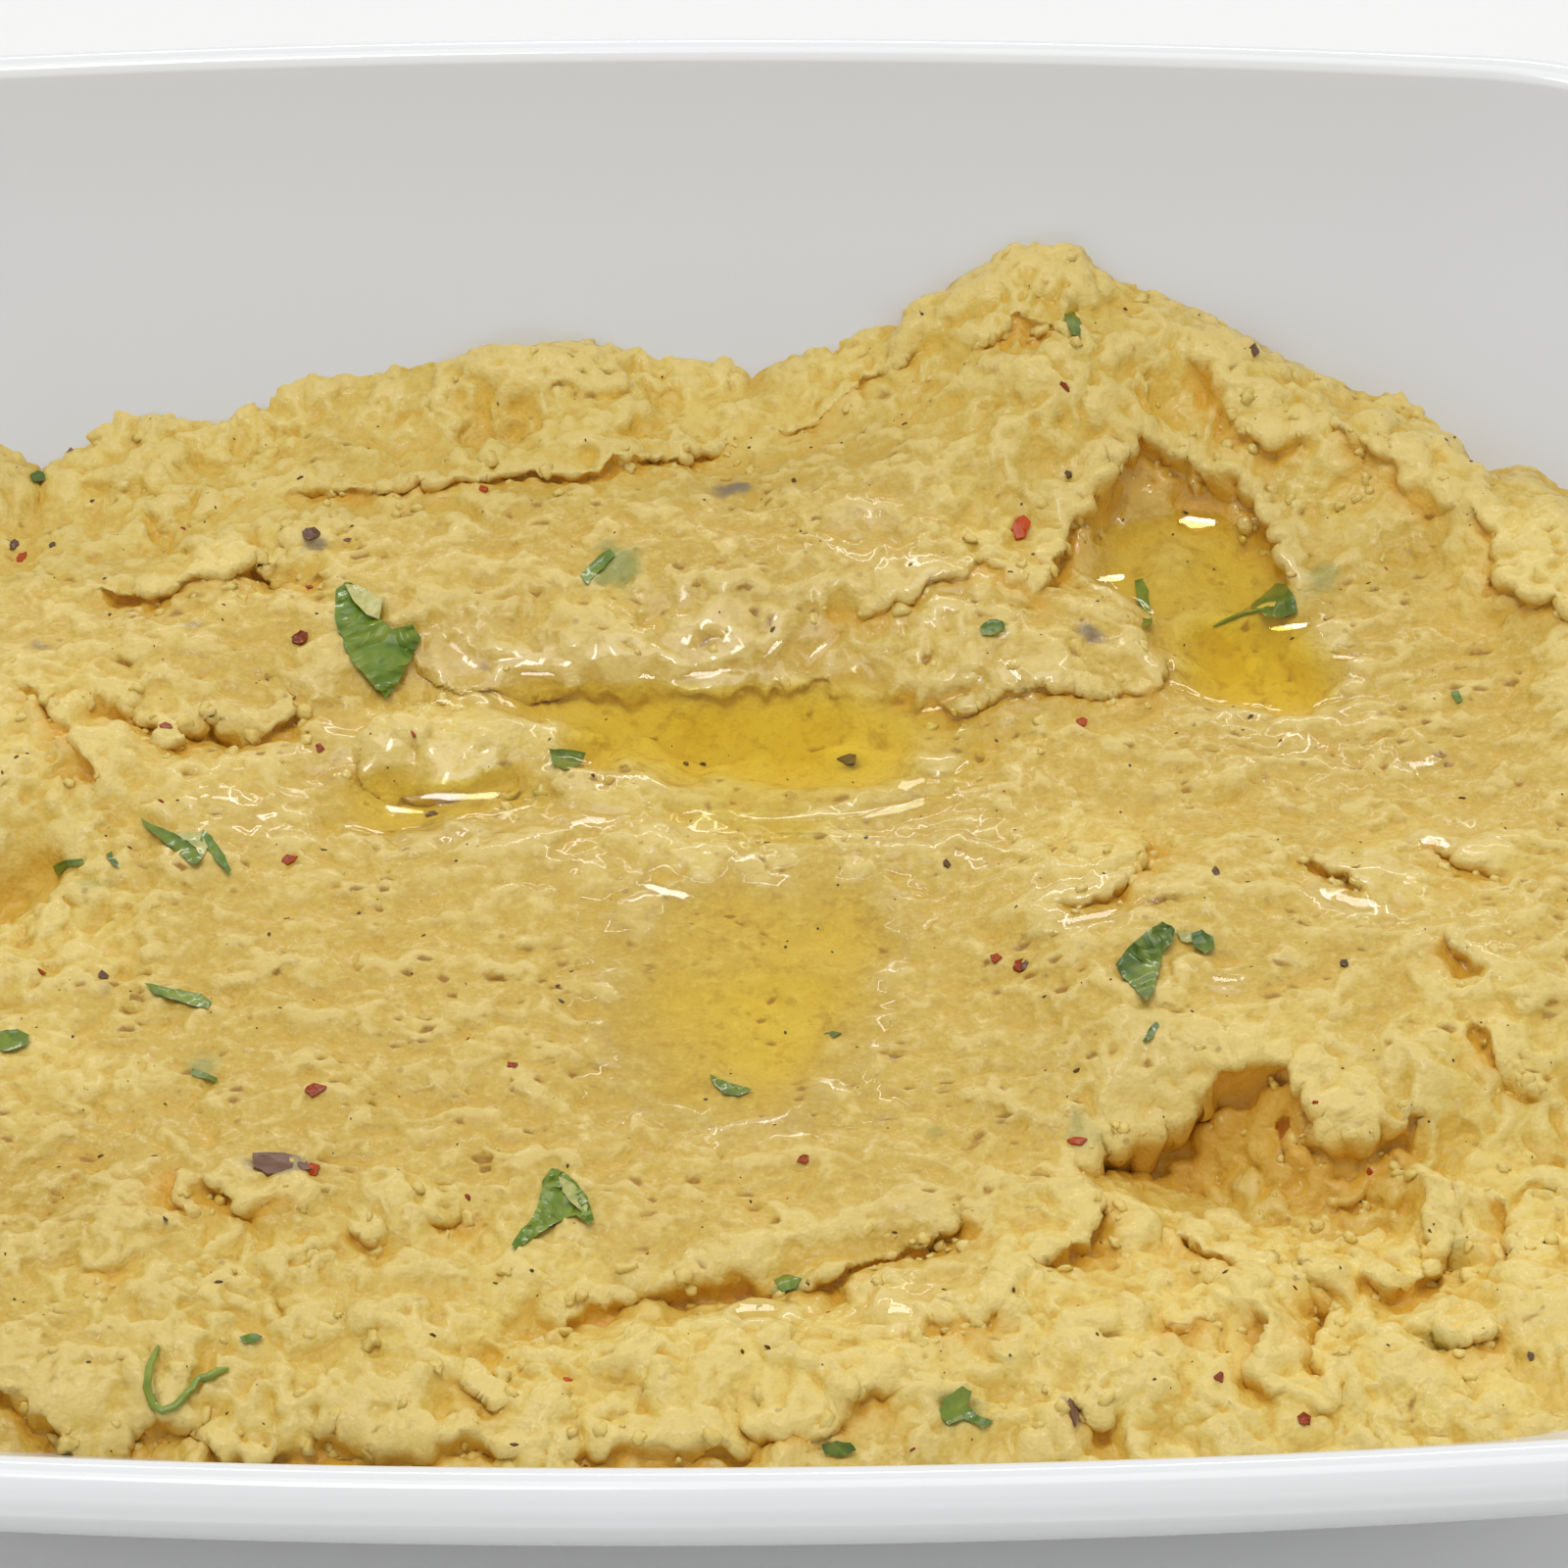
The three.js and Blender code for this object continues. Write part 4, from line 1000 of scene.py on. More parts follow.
# --------------------------------------------------------------------- oil
def oil_object(name):
    level, parts = POOLS[name]
    near = np.max([pool_distance(X, Y, pts, level) for pts, _, _ in parts], 0)
    depth = np.where(near > -4.5, level - Z, -9.0)
    s = shore_distance(blur(depth, 1))
    lip = (0.34 if name != "oil_centre" else 0.02) * np.clip(0.75 + 0.7 * noise(X, Y, 4.0, 91), 0.1, 1.4)
    top = level + np.where(s > 0, lip * np.exp(-s / 0.75), lip + 0.5 * s) + 0.02 * noise(X, Y, 3.0, 92)
    keep = (near > -4.0) & (top > Z - 0.16)
    cell = keep[:-1, :-1] & keep[1:, :-1] & keep[:-1, 1:] & keep[1:, 1:]
    ny, nx = X.shape
    sheets = np.zeros_like(cell)
    left = cell.copy()
    for _ in parts:
        k = np.unravel_index(np.argmax(np.where(left, depth[:-1, :-1], -9)), cell.shape)
        part = flood(cell, k)
        sheets |= part
        left &= ~part
    idx = np.arange(ny * nx).reshape(ny, nx)
    quads = np.stack([idx[:-1, :-1][sheets], idx[:-1, 1:][sheets], idx[1:, 1:][sheets], idx[1:, :-1][sheets]], 1)
    used = np.unique(quads)
    remap = np.full(ny * nx, -1)
    remap[used] = np.arange(len(used))
    q = remap[quads]
    n = len(used)
    x, y, z = X.ravel()[used], Y.ravel()[used], top.ravel()[used]
    low = np.minimum(z - 0.12, Z.ravel()[used] - 0.7)
    e = np.concatenate([q[:, [0, 1]], q[:, [1, 2]], q[:, [2, 3]], q[:, [3, 0]]])
    key = np.sort(e, 1)
    _, first, count = np.unique(key[:, 0].astype(np.int64) * n + key[:, 1], return_index=True, return_counts=True)
    rim = e[first[count == 1]]
    walls = np.stack([rim[:, 1], rim[:, 0], rim[:, 0] + n, rim[:, 1] + n], 1)
    o = mesh_object(name + "_surface", np.concatenate([np.stack([x, y, z], 1), np.stack([x, y, low], 1)]), np.concatenate([q, q[:, ::-1] + n, walls]))
    attribute(o, "depth", np.concatenate([np.clip(z - Z.ravel()[used], 0, 6), np.zeros(n)]))
    m = o.modifiers.new("dec", "DECIMATE")
    m.ratio = 0.45
    apply_modifiers(o)
    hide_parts(name)
    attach(o, "root")
    print(name, "polygons", len(o.data.polygons), "deepest", float(depth.max()))
    return o


OILS = [oil_object(n) for n in POOLS]


# --------------------------------------------------------------- materials
def material(name):
    m = bpy.data.materials.new(name)
    m.use_nodes = True
    t = m.node_tree
    return m, t, t.nodes["Principled BSDF"]


def node(t, kind, **kw):
    n = t.nodes.new(kind)
    for k, v in kw.items():
        if k == "ins":
            for s, val in v.items():
                if hasattr(val, "is_output"):
                    t.links.new(val, n.inputs[s])
                else:
                    n.inputs[s].default_value = val
        else:
            setattr(n, k, v)
    return n


def math_node(t, op, a, b=0.0, clamp=False):
    n = node(t, "ShaderNodeMath", operation=op, use_clamp=clamp)
    for i, v in enumerate((a, b)):
        if hasattr(v, "is_output"):
            t.links.new(v, n.inputs[i])
        else:
            n.inputs[i].default_value = v
    return n.outputs[0]


def mix(t, fac, a, b, blend="MIX"):
    n = node(t, "ShaderNodeMix", data_type="RGBA", blend_type=blend)
    for i, v in ((0, fac), (6, a), (7, b)):
        if hasattr(v, "is_output"):
            t.links.new(v, n.inputs[i])
        else:
            n.inputs[i].default_value = v
    return n.outputs[2]


def ramp(t, fac, lo, hi, a=0.0, b=1.0):
    n = node(t, "ShaderNodeMapRange", ins={"From Min": lo, "From Max": hi, "To Min": a, "To Max": b})
    n.interpolation_type = "SMOOTHSTEP"
    t.links.new(fac, n.inputs["Value"])
    return n.outputs["Result"]


def srgb(r, g, b):
    f = lambda c: c / 12.92 if c <= 0.04045 else ((c + 0.055) / 1.055) ** 2.4
    return (f(r / 255), f(g / 255), f(b / 255), 1.0)


def attr(t, name):
    return node(t, "ShaderNodeAttribute", attribute_name=name).outputs["Fac"]


def texture(t, place, scale, detail=2.0, rough=0.55):
    return node(t, "ShaderNodeTexNoise", ins={"Vector": place, "Scale": scale, "Detail": detail, "Roughness": rough}).outputs["Fac"]


def hummus_material():
    m, t, p = material("hummus_paste")
    place = node(t, "ShaderNodeTexCoord").outputs["Object"]
    painted_shade, painted_relief_light, wet = attr(t, "painted_shade"), attr(t, "painted_relief_light"), attr(t, "wet")
    # broad drift of tone, grains, a fine meal, and painted light and shade: paler on bumps, painted golden shade in the
    # hollows and under the ledges
    drift = texture(t, place, 110.0, 3.0)
    grain = texture(t, place, 850.0, 2.0, 0.65)
    meal = texture(t, place, 2100.0, 2.0, 0.6)
    base = mix(t, ramp(t, attr(t, "crumb"), 0.12, 0.70), srgb(206, 174, 77), srgb(225, 197, 103))
    tone = attr(t, "tone")
    # painted light and shade by place: darker on the heap, ridges, left side and hollows, paler at the front right
    base = mix(t, ramp(t, tone, 0.1, -1.2), base, mix(t, 1.0, base, (0.875, 0.85, 0.73, 1), "MULTIPLY"))
    base = mix(t, ramp(t, tone, 0.0, 1.1), base, mix(t, 1.0, base, (1.10, 1.11, 1.17, 1), "MULTIPLY"))
    base = mix(t, ramp(t, drift, 0.36, 0.64, 0.0, 0.6), base, mix(t, 1.0, base, (1.05, 1.07, 1.14, 1), "MULTIPLY"))
    soft = ramp(t, attr(t, "crumb"), 0.15, 0.80, 1.0, 0.55)
    base = mix(t, math_node(t, "MULTIPLY", soft, ramp(t, grain, 0.50, 0.72, 0.0, 0.46)), base, srgb(190, 148, 54))
    base = mix(t, math_node(t, "MULTIPLY", soft, ramp(t, grain, 0.48, 0.28, 0.0, 0.44)), base, srgb(233, 208, 128))
    base = mix(t, math_node(t, "MULTIPLY", soft, ramp(t, meal, 0.52, 0.74, 0.0, 0.28)), base, srgb(184, 142, 54))
    base = mix(t, math_node(t, "MULTIPLY", soft, ramp(t, meal, 0.46, 0.26, 0.0, 0.26)), base, srgb(242, 221, 146))
    # painted highlight on bumps and painted shade in dips
    base = mix(t, ramp(t, painted_relief_light, 0.04, 0.45, 0.0, 0.55), base, srgb(234, 211, 135))
    base = mix(t, ramp(t, painted_relief_light, 0.0, -0.45, 0.0, 0.45), base, srgb(212, 170, 62))
    # painted shade: golden where the relief hides the sky
    base = mix(t, ramp(t, painted_shade, 0.08, 0.46, 0.0, 0.78), base, srgb(222, 178, 60))
    # painted shade under the torn ledges
    base = mix(t, ramp(t, attr(t, "under"), 0.06, 0.70, 0.0, 0.82), base, srgb(216, 162, 50))
    # painted light: the deepest crevices a paler warm gold, standing in for light glowing through the paste
    base = mix(t, ramp(t, painted_shade, 0.42, 0.85, 0.0, 0.86), base, srgb(248, 190, 94))
    # painted light: the bed under the oil paler, making up for the light the oil's film holds back
    base = mix(t, ramp(t, attr(t, "pool"), 0.1, 1.8, 0.0, 0.55), base, srgb(238, 208, 122))
    # the bed under the oil shows mottled
    mottle = math_node(t, "MULTIPLY", ramp(t, texture(t, place, 620.0, 3.0, 0.6), 0.52, 0.70, 0.0, 0.45), ramp(t, attr(t, "pool"), 0.05, 0.5))
    base = mix(t, mottle, base, srgb(178, 134, 46))
    base = mix(t, ramp(t, attr(t, "pit"), 0.08, 0.50, 0.0, 0.70), base, srgb(150, 102, 34))
    # darker meal scattered in the paste
    fleck = node(t, "ShaderNodeTexVoronoi", ins={"Vector": place, "Scale": 420.0, "Randomness": 1.0})
    dot = ramp(t, fleck.outputs["Distance"], 0.17, 0.07)
    rare = node(t, "ShaderNodeSeparateColor")
    t.links.new(fleck.outputs["Color"], rare.inputs[0])
    dot = math_node(t, "MULTIPLY", dot, ramp(t, rare.outputs[0], 0.84, 0.92, 0.0, 0.45))
    base = mix(t, dot, base, srgb(140, 96, 40))
    base = mix(t, ramp(t, attr(t, "green"), 0.10, 0.80, 0.0, 0.75), base, srgb(134, 146, 80))
    base = mix(t, ramp(t, attr(t, "grey"), 0.10, 0.80, 0.0, 0.80), base, srgb(120, 106, 92))
    # oil soaks in: deeper and yellower
    base = mix(t, ramp(t, wet, 0.2, 1.0, 0.0, 0.45), base, mix(t, 1.0, base, srgb(246, 238, 196), "MULTIPLY"))
    t.links.new(base, p.inputs["Base Color"])
    p.inputs["Roughness"].default_value = 0.42
    p.inputs["IOR"].default_value = 1.42
    p.inputs["Specular IOR Level"].default_value = 0.38
    t.links.new(math_node(t, "MULTIPLY", ramp(t, wet, 0.05, 0.60, 0.14, 1.0), ramp(t, attr(t, "pool"), 0.02, 0.25, 1.0, 0.0)), p.inputs["Coat Weight"])
    p.inputs["Coat Roughness"].default_value = 0.10
    b1 = node(t, "ShaderNodeBump", ins={"Height": grain, "Strength": 0.42, "Distance": 0.0007}, invert=True)
    b2 = node(t, "ShaderNodeBump", ins={"Height": meal, "Strength": 0.22, "Distance": 0.0003, "Normal": b1.outputs[0]}, invert=True)
    t.links.new(b2.outputs[0], p.inputs["Normal"])
    return m


def glaze_material():
    m, t, p = material("white_glaze")
    place = node(t, "ShaderNodeTexCoord").outputs["Object"]
    soft = texture(t, place, 24.0)
    bare = attr(t, "bare")
    base = mix(t, ramp(t, soft, 0.35, 0.65), (0.855, 0.865, 0.87, 1), (0.875, 0.885, 0.895, 1))
    # painted shade: the glaze inside the dish darker than outside
    base = mix(t, ramp(t, attr(t, "inner"), 0.0, 1.0), base, (0.725, 0.735, 0.752, 1))
    base = mix(t, bare, base, (0.62, 0.58, 0.51, 1))
    t.links.new(base, p.inputs["Base Color"])
    t.links.new(ramp(t, bare, 0.2, 0.8, 0.12, 0.75), p.inputs["Roughness"])
    p.inputs["IOR"].default_value = 1.5
    wave = texture(t, place, 60.0, 1.0)
    b = node(t, "ShaderNodeBump", ins={"Height": wave, "Strength": 0.06, "Distance": 0.001})
    t.links.new(b.outputs[0], p.inputs["Normal"])
    return m


def oil_material():
    """A clear film, yellower the deeper the oil under it."""
    m, t, p = material("olive_oil")
    t.nodes.remove(p)
    depth = attr(t, "depth")
    tint = node(t, "ShaderNodeCombineColor")
    for k, per_mm in enumerate((0.992, 0.976, 0.70)):
        t.links.new(math_node(t, "POWER", per_mm, depth), tint.inputs[k])
    clear = node(t, "ShaderNodeBsdfTransparent", ins={"Color": tint.outputs[0]})
    shine = node(t, "ShaderNodeBsdfGlossy", ins={"Roughness": 0.03})
    edge = node(t, "ShaderNodeLayerWeight", ins={"Blend": 0.5}).outputs["Facing"]
    edge = math_node(t, "ADD", math_node(t, "MULTIPLY", math_node(t, "POWER", edge, 5.0), 0.5), 0.034)
    both = node(t, "ShaderNodeMixShader", ins={0: edge, 1: clear.outputs[0], 2: shine.outputs[0]})
    t.links.new(both.outputs[0], t.nodes["Material Output"].inputs["Surface"])
    return m


PASTE = hummus_material()
for _o, _m in [(dip, PASTE), (curds, PASTE), (dish, glaze_material())] + [(o, None) for o in OILS]:
    _o.data.materials.clear()
    if _m:
        _o.data.materials.append(_m)
_oil = oil_material()
for _o in OILS:
    _o.data.materials.append(_oil)
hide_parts("hummus")
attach(dip, "root")
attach(curds, "root")
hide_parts("dish")
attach(dish, "root")


# ---------------------------------------------------------------- toppings
# leaf scraps: outline through pixels, lift and curl in mm, shade from dark to pale; the palest sheets, over 0.8, are
# painted highlights, pale glare on folds and wet spots
LEAVES = [
    ([(343, 601), (352, 594), (368, 598), (389, 612), (386, 630), (400, 642), (421, 637), (430, 651), (421, 668), (411, 687), (404, 700), (393, 712),
      (380, 698), (366, 682), (352, 662), (342, 634)], 0.35, 0.9, 0.50),
    ([(352, 596), (370, 599), (390, 612), (387, 632), (374, 627), (360, 612)], 0.95, 0.3, 0.95),
    ([(143, 833), (160, 843), (178, 850), (196, 862), (206, 876), (200, 882), (184, 872), (166, 858), (150, 845)], 0.25, 0.3, 0.32),
    ([(207, 846), (216, 853), (226, 868), (236, 888), (232, 892), (222, 880), (212, 866), (204, 856)], 0.25, 0.3, 0.40),
    ([(178, 850), (205, 848), (212, 864), (206, 876), (196, 862)], 0.18, 0.2, 0.88),
    ([(54, 884), (66, 878), (84, 876), (86, 881), (68, 885), (58, 894)], 0.15, 0.2, 0.25),
    ([(108, 872), (114, 868), (122, 884), (114, 882)], 0.20, 0.2, 0.15),
    ([(147, 1003), (165, 1006), (188, 1011), (206, 1014), (216, 1022), (212, 1029), (196, 1026), (178, 1020), (158, 1014)], 0.22, 0.3, 0.30),
    ([(196, 1090), (210, 1094), (222, 1100), (220, 1105), (206, 1100), (195, 1096)], 0.15, 0.1, 0.05),
    ([(-6, 1052), (18, 1050), (30, 1056), (28, 1066), (10, 1072), (-6, 1072)], 0.25, 0.3, 0.25),
    ([(31, 484), (38, 480), (46, 482), (46, 490), (34, 491)], 0.25, 0.1, 0.30),
    ([(244, 1364), (256, 1360), (268, 1364), (260, 1370), (248, 1370)], 0.2, 0.1, 0.35),
    ([(562, 1192), (576, 1196), (588, 1206), (600, 1222), (606, 1244), (600, 1250), (588, 1240), (576, 1244), (560, 1252), (544, 1264), (526, 1274),
      (522, 1270), (532, 1254), (544, 1240), (550, 1224), (553, 1206)], 0.30, 0.7, 0.58),
    ([(570, 1200), (586, 1208), (600, 1226), (598, 1238), (584, 1228), (574, 1216)], 0.75, 0.2, 0.86),
    ([(724, 1096), (738, 1102), (756, 1108), (768, 1112), (754, 1118), (738, 1116), (730, 1108)], 0.22, 0.2, 0.32),
    ([(560, 764), (574, 764), (598, 768), (594, 778), (582, 785), (564, 780)], 0.25, 0.2, 0.30),
    ([(1138, 984), (1152, 966), (1170, 950), (1186, 940), (1199, 948), (1196, 962), (1186, 972), (1182, 992), (1178, 1010), (1170, 1021), (1158, 1008),
      (1146, 998)], 0.35, 0.5, 0.14),
    ([(1216, 952), (1226, 948), (1238, 956), (1240, 968), (1230, 973), (1218, 966)], 0.35, 0.2, 0.05),
    ([(1200, 949), (1217, 951), (1220, 962), (1205, 960)], 0.30, 0.1, 1.0),
    ([(1166, 1062), (1172, 1050), (1180, 1042), (1183, 1046), (1177, 1058), (1168, 1064)], 0.2, 0.1, 0.15),
    ([(1000, 640), (1010, 632), (1024, 634), (1026, 642), (1012, 648), (1002, 648)], 0.22, 0.2, 0.20),
    ([(1158, 592), (1166, 590), (1172, 602), (1174, 620), (1176, 636), (1168, 640), (1164, 624), (1160, 608)], 0.25, 0.3, 0.30),
    ([(1276, 618), (1290, 606), (1302, 594), (1312, 596), (1322, 612), (1324, 624), (1310, 630), (1294, 630)], 0.30, 0.4, 0.30),
    ([(1086, 320), (1096, 318), (1104, 330), (1102, 344), (1092, 340)], 0.2, 0.2, 0.22),
    ([(1480, 706), (1488, 704), (1493, 714), (1487, 717)], 0.2, 0.1, 0.40),
    ([(958, 1440), (966, 1424), (982, 1414), (992, 1420), (986, 1434), (998, 1444), (1014, 1450), (1002, 1457), (984, 1448), (968, 1454)], 0.25, 0.3, 0.66),
    ([(838, 1474), (854, 1470), (868, 1472), (874, 1480), (860, 1487), (842, 1484)], 0.25, 0.3, 0.10),
    ([(840, 1054), (850, 1052), (859, 1054), (850, 1059)], 0.15, 0.1, 0.25),
    ([(790, 1306), (804, 1300), (818, 1304), (812, 1314), (798, 1318)], 0.2, 0.2, 0.42),
    ([(592, 588), (606, 572), (622, 560), (628, 566), (616, 580), (600, 596)], 0.10, 0.1, 0.48),
]
STEMS = [
    ([(162, 1376), (153, 1398), (150, 1418), (156, 1436), (166, 1443), (178, 1438), (192, 1425), (206, 1411), (222, 1402), (240, 1397)], 0.30, 0.68),
    ([(1238, 641), (1252, 634), (1268, 628), (1284, 624), (1300, 620)], 0.17, 0.30),
]
# chilli flakes and dark bits: pixel, width and height in pixels, tone
FLAKES = [
    (22, 570, 13, 20, 0.75), (1042, 540, 24, 30, 1.0), (1040, 988, 26, 17, 0.45), (1015, 978, 14, 12, 0.6), (295, 878, 18, 16, 0.6), (322, 1112, 26, 14, 0.55),
    (1104, 738, 13, 16, 0.7), (493, 500, 11, 11, 0.8), (522, 1088, 14, 9, 0.5), (1098, 1165, 24, 9, 0.75), (820, 1183, 15, 8, 0.6), (305, 652, 20, 17, 0.35),
    (320, 1194, 16, 13, 0.7), (1245, 1407, 12, 11, 0.4), (1332, 1450, 15, 13, 0.5), (326, 764, 12, 12, 0.45),
]
BITS = [
    (284, 1189, 66, 27, 1.0), (318, 546, 20, 14, 0.75), (70, 457, 22, 13, 0.7), (1280, 358, 14, 17, 0.6), (1090, 485, 9, 8, 0.2), (810, 491, 6, 7, 0.1),
    (966, 882, 9, 10, 0.15), (1240, 890, 9, 14, 0.4), (1094, 1440, 11, 34, 0.9), (14, 556, 12, 12, 0.7), (54, 557, 9, 7, 0.4), (865, 775, 22, 11, 0.6),
    (1046, 986, 10, 10, 0.9), (440, 831, 16, 7, 0.7), (105, 996, 12, 11, 0.6), (1562, 1384, 7, 9, 0.15), (1372, 984, 9, 8, 0.3), (700, 780, 7, 5, 0.2), (717, 781, 7, 5, 0.2),
]


def closed_sheet(top, faces, back):
    """A thin closed leaf from its upper face and the way down through it."""
    n = len(top)
    e = np.concatenate([faces[:, [0, 1]], faces[:, [1, 2]], faces[:, [2, 0]]])
    key = np.sort(e, 1)
    _, first, count = np.unique(key[:, 0].astype(np.int64) * n + key[:, 1], return_index=True, return_counts=True)
    rim = e[first[count == 1]]
    a, b = rim[:, 0], rim[:, 1]
    walls = np.concatenate([np.stack([b, a, a + n], 1), np.stack([b, a + n, b + n], 1)])
    return np.concatenate([top, top + back]), np.concatenate([faces, faces[:, ::-1] + n, walls])


def leaf(px, lift, curl, k):
    rng = np.random.default_rng(400 + k)
    # ragged outline, then a sheet filled in
    ring = []
    for a, b in zip(px, px[1:] + px[:1]):
        a, b = np.array(a, float), np.array(b, float)
        m = max(1, int(np.hypot(*(b - a)) / 5))
        for i in range(m):
            ring.append(a + (b - a) * i / m + rng.normal(size=2) * (0.0 if i == 0 else 0.7))
    bm = bmesh.new()
    f = bm.faces.new([bm.verts.new((p[0], -p[1], 0)) for p in ring])
    bmesh.ops.triangulate(bm, faces=[f], quad_method="BEAUTY", ngon_method="BEAUTY")
    for _ in range(2):
        bmesh.ops.subdivide_edges(bm, edges=[e for e in bm.edges if not e.is_boundary and e.calc_length() > 7], cuts=1)
        bmesh.ops.triangulate(bm, faces=bm.faces[:])
    bm.normal_update()
    up = sum(t.normal.z * t.calc_area() for t in bm.faces)
    bm.verts.index_update()
    uv = np.array([(v.co.x, -v.co.y) for v in bm.verts])
    faces = np.array([[v.index for v in (t.verts if up > 0 else reversed(t.verts[:]))] for t in bm.faces])
    bm.free()
    got = [hit(u, v)[2] for u, v in uv]
    middle = np.median([g for g in got if g is not None])
    t = np.array([g if g is not None and abs(g - middle) < 8 else middle for g in got])
    c = uv.mean(0)
    q = (uv - c) / (np.abs(uv - c).max() + 1e-9)
    m = np.stack([np.ones(len(q)), q[:, 0], q[:, 1], q[:, 0] * q[:, 1], q[:, 1] ** 2], 1)[:, : 5 if len(q) > 14 else 3]
    fit = m @ np.linalg.lstsq(m, t, rcond=None)[0]
    fit = fit - max(0.0, np.percentile(fit - t, 80)) - lift
    r2 = (q**2).sum(1)
    fit = fit - curl * r2 * (0.5 + 0.5 * np.sin(2.1 * k + 3.0 * q[:, 0]))
    fold = np.sin(0.33 * uv[:, 0] + 0.17 * uv[:, 1] + k) * np.sin(0.16 * uv[:, 0] - 0.30 * uv[:, 1] + 2 * k)
    fit = fit - (0.30 if curl >= 0.4 else 0.12) * fold
    way = np.array([sight(u, v) for u, v in uv])
    top = POS + way * fit[:, None]
    rib = np.abs(q[:, 0] * math.sin(1.3 * k) + q[:, 1] * math.cos(1.3 * k))
    co, fc = closed_sheet(top, faces, way * 0.10)
    return co, fc, np.concatenate([rib, rib])


def tube(points, radius):
    """A round stem along points, closed at the ends, thinner towards them."""
    p = np.array(points)
    d = np.gradient(p, axis=0)
    d /= np.linalg.norm(d, axis=1, keepdims=True)
    side = np.cross(d, (0, 0, 1.0))
    side /= np.linalg.norm(side, axis=1, keepdims=True)
    up = np.cross(side, d)
    n, k = len(p), 8
    r = radius * np.clip(np.minimum(np.arange(n), np.arange(n)[::-1]) / 1.5, 0.4, 1)
    a = 2 * np.pi * np.arange(k) / k
    co = (p[:, None] + r[:, None, None] * (np.cos(a)[None, :, None] * side[:, None] + np.sin(a)[None, :, None] * up[:, None])).reshape(-1, 3)
    faces = []
    for i in range(n - 1):
        for j in range(k):
            b, c = i * k + j, i * k + (j + 1) % k
            faces += [(b, b + k, c + k), (b, c + k, c)]
    co = np.concatenate([co, p[:1], p[-1:]])
    for j in range(k):
        faces += [(n * k, j, (j + 1) % k), (n * k + 1, (n - 1) * k + (j + 1) % k, (n - 1) * k + j)]
    return co, np.array(faces)


def joined(name, parts, names):
    """One mesh of many closed pieces, with their numbers kept as attributes."""
    co, faces, values, start = [], [], [[] for _ in names], 0
    for p, f, *v in parts:
        co.append(p)
        faces.append(f + start)
        for k, w in enumerate(v):
            values[k].append(np.broadcast_to(w, len(p)))
        start += len(p)
    o = mesh_object(name, np.concatenate(co), np.concatenate(faces))
    for k, n in enumerate(names):
        attribute(o, n, np.concatenate(values[k]))
    bm = bmesh.new()
    bm.from_mesh(o.data)
    bmesh.ops.recalc_face_normals(bm, faces=bm.faces[:])
    for e in bm.edges:
        e.smooth = len(e.link_faces) != 2 or e.calc_face_angle(0.0) < 0.75
    bm.to_mesh(o.data)
    bm.free()
    print(name, "triangles", len(o.data.polygons))
    return o


def herbs_object():
    parts = []
    for k, (px, lift, curl, shade) in enumerate(LEAVES):
        co, f, rib = leaf(px, lift, curl, k)
        parts.append((co, f, shade, rib))
    for px, radius, shade in STEMS:
        p = []
        for (u0, v0), (u1, v1) in zip(px[:-1], px[1:]):
            for i in range(3):
                q, n, _ = hit(u0 + (u1 - u0) * i / 3, v0 + (v1 - v0) * i / 3)
                p.append(q + (0, 0, radius * 0.9))
        p = np.array(p)
        for _ in range(4):
            p[1:-1, 2] = np.maximum(p[1:-1, 2], (p[:-2, 2] + p[2:, 2]) / 2)
        co, f = tube(p, radius)
        parts.append((co, f, shade, 0.0))
    # scraps out of the photo's sight, over the ends of the dish
    rng = np.random.default_rng(21)
    v, f = ball(2)
    for k in range(9):
        side = -1 if k % 2 else 1
        x, y = side * rng.uniform(62, 76) + 4, rng.uniform(-38, 38)
        p, n = drop(x, y)
        if p is None or p[2] < 20:
            continue
        a, b = rng.uniform(0.8, 1.9), rng.uniform(0.45, 0.9)
        w = v * (1 + 0.25 * np.sin(v @ (rng.normal(size=3) * 2.6)))[:, None] * (a, b, 0.12)
        t = rng.uniform(0, math.pi)
        w = np.stack([w[:, 0] * math.cos(t) - w[:, 1] * math.sin(t), w[:, 0] * math.sin(t) + w[:, 1] * math.cos(t), w[:, 2] + 0.12 * w[:, 0] ** 2], 1)
        parts.append((lay(p, n, w, 0.15), f, rng.uniform(0.2, 0.6), np.abs(w[:, 1])))
    return joined("herb_leaves", parts, ("shade", "rib"))


def lay(p, n, w, lift):
    """Turns a piece drawn flat on to a slope."""
    n = n / np.linalg.norm(n)
    e = np.cross((0, 1.0, 0), n)
    e /= np.linalg.norm(e)
    g = np.cross(n, e)
    return p + w[:, :1] * e + w[:, 1:2] * g + (w[:, 2:] + lift) * n


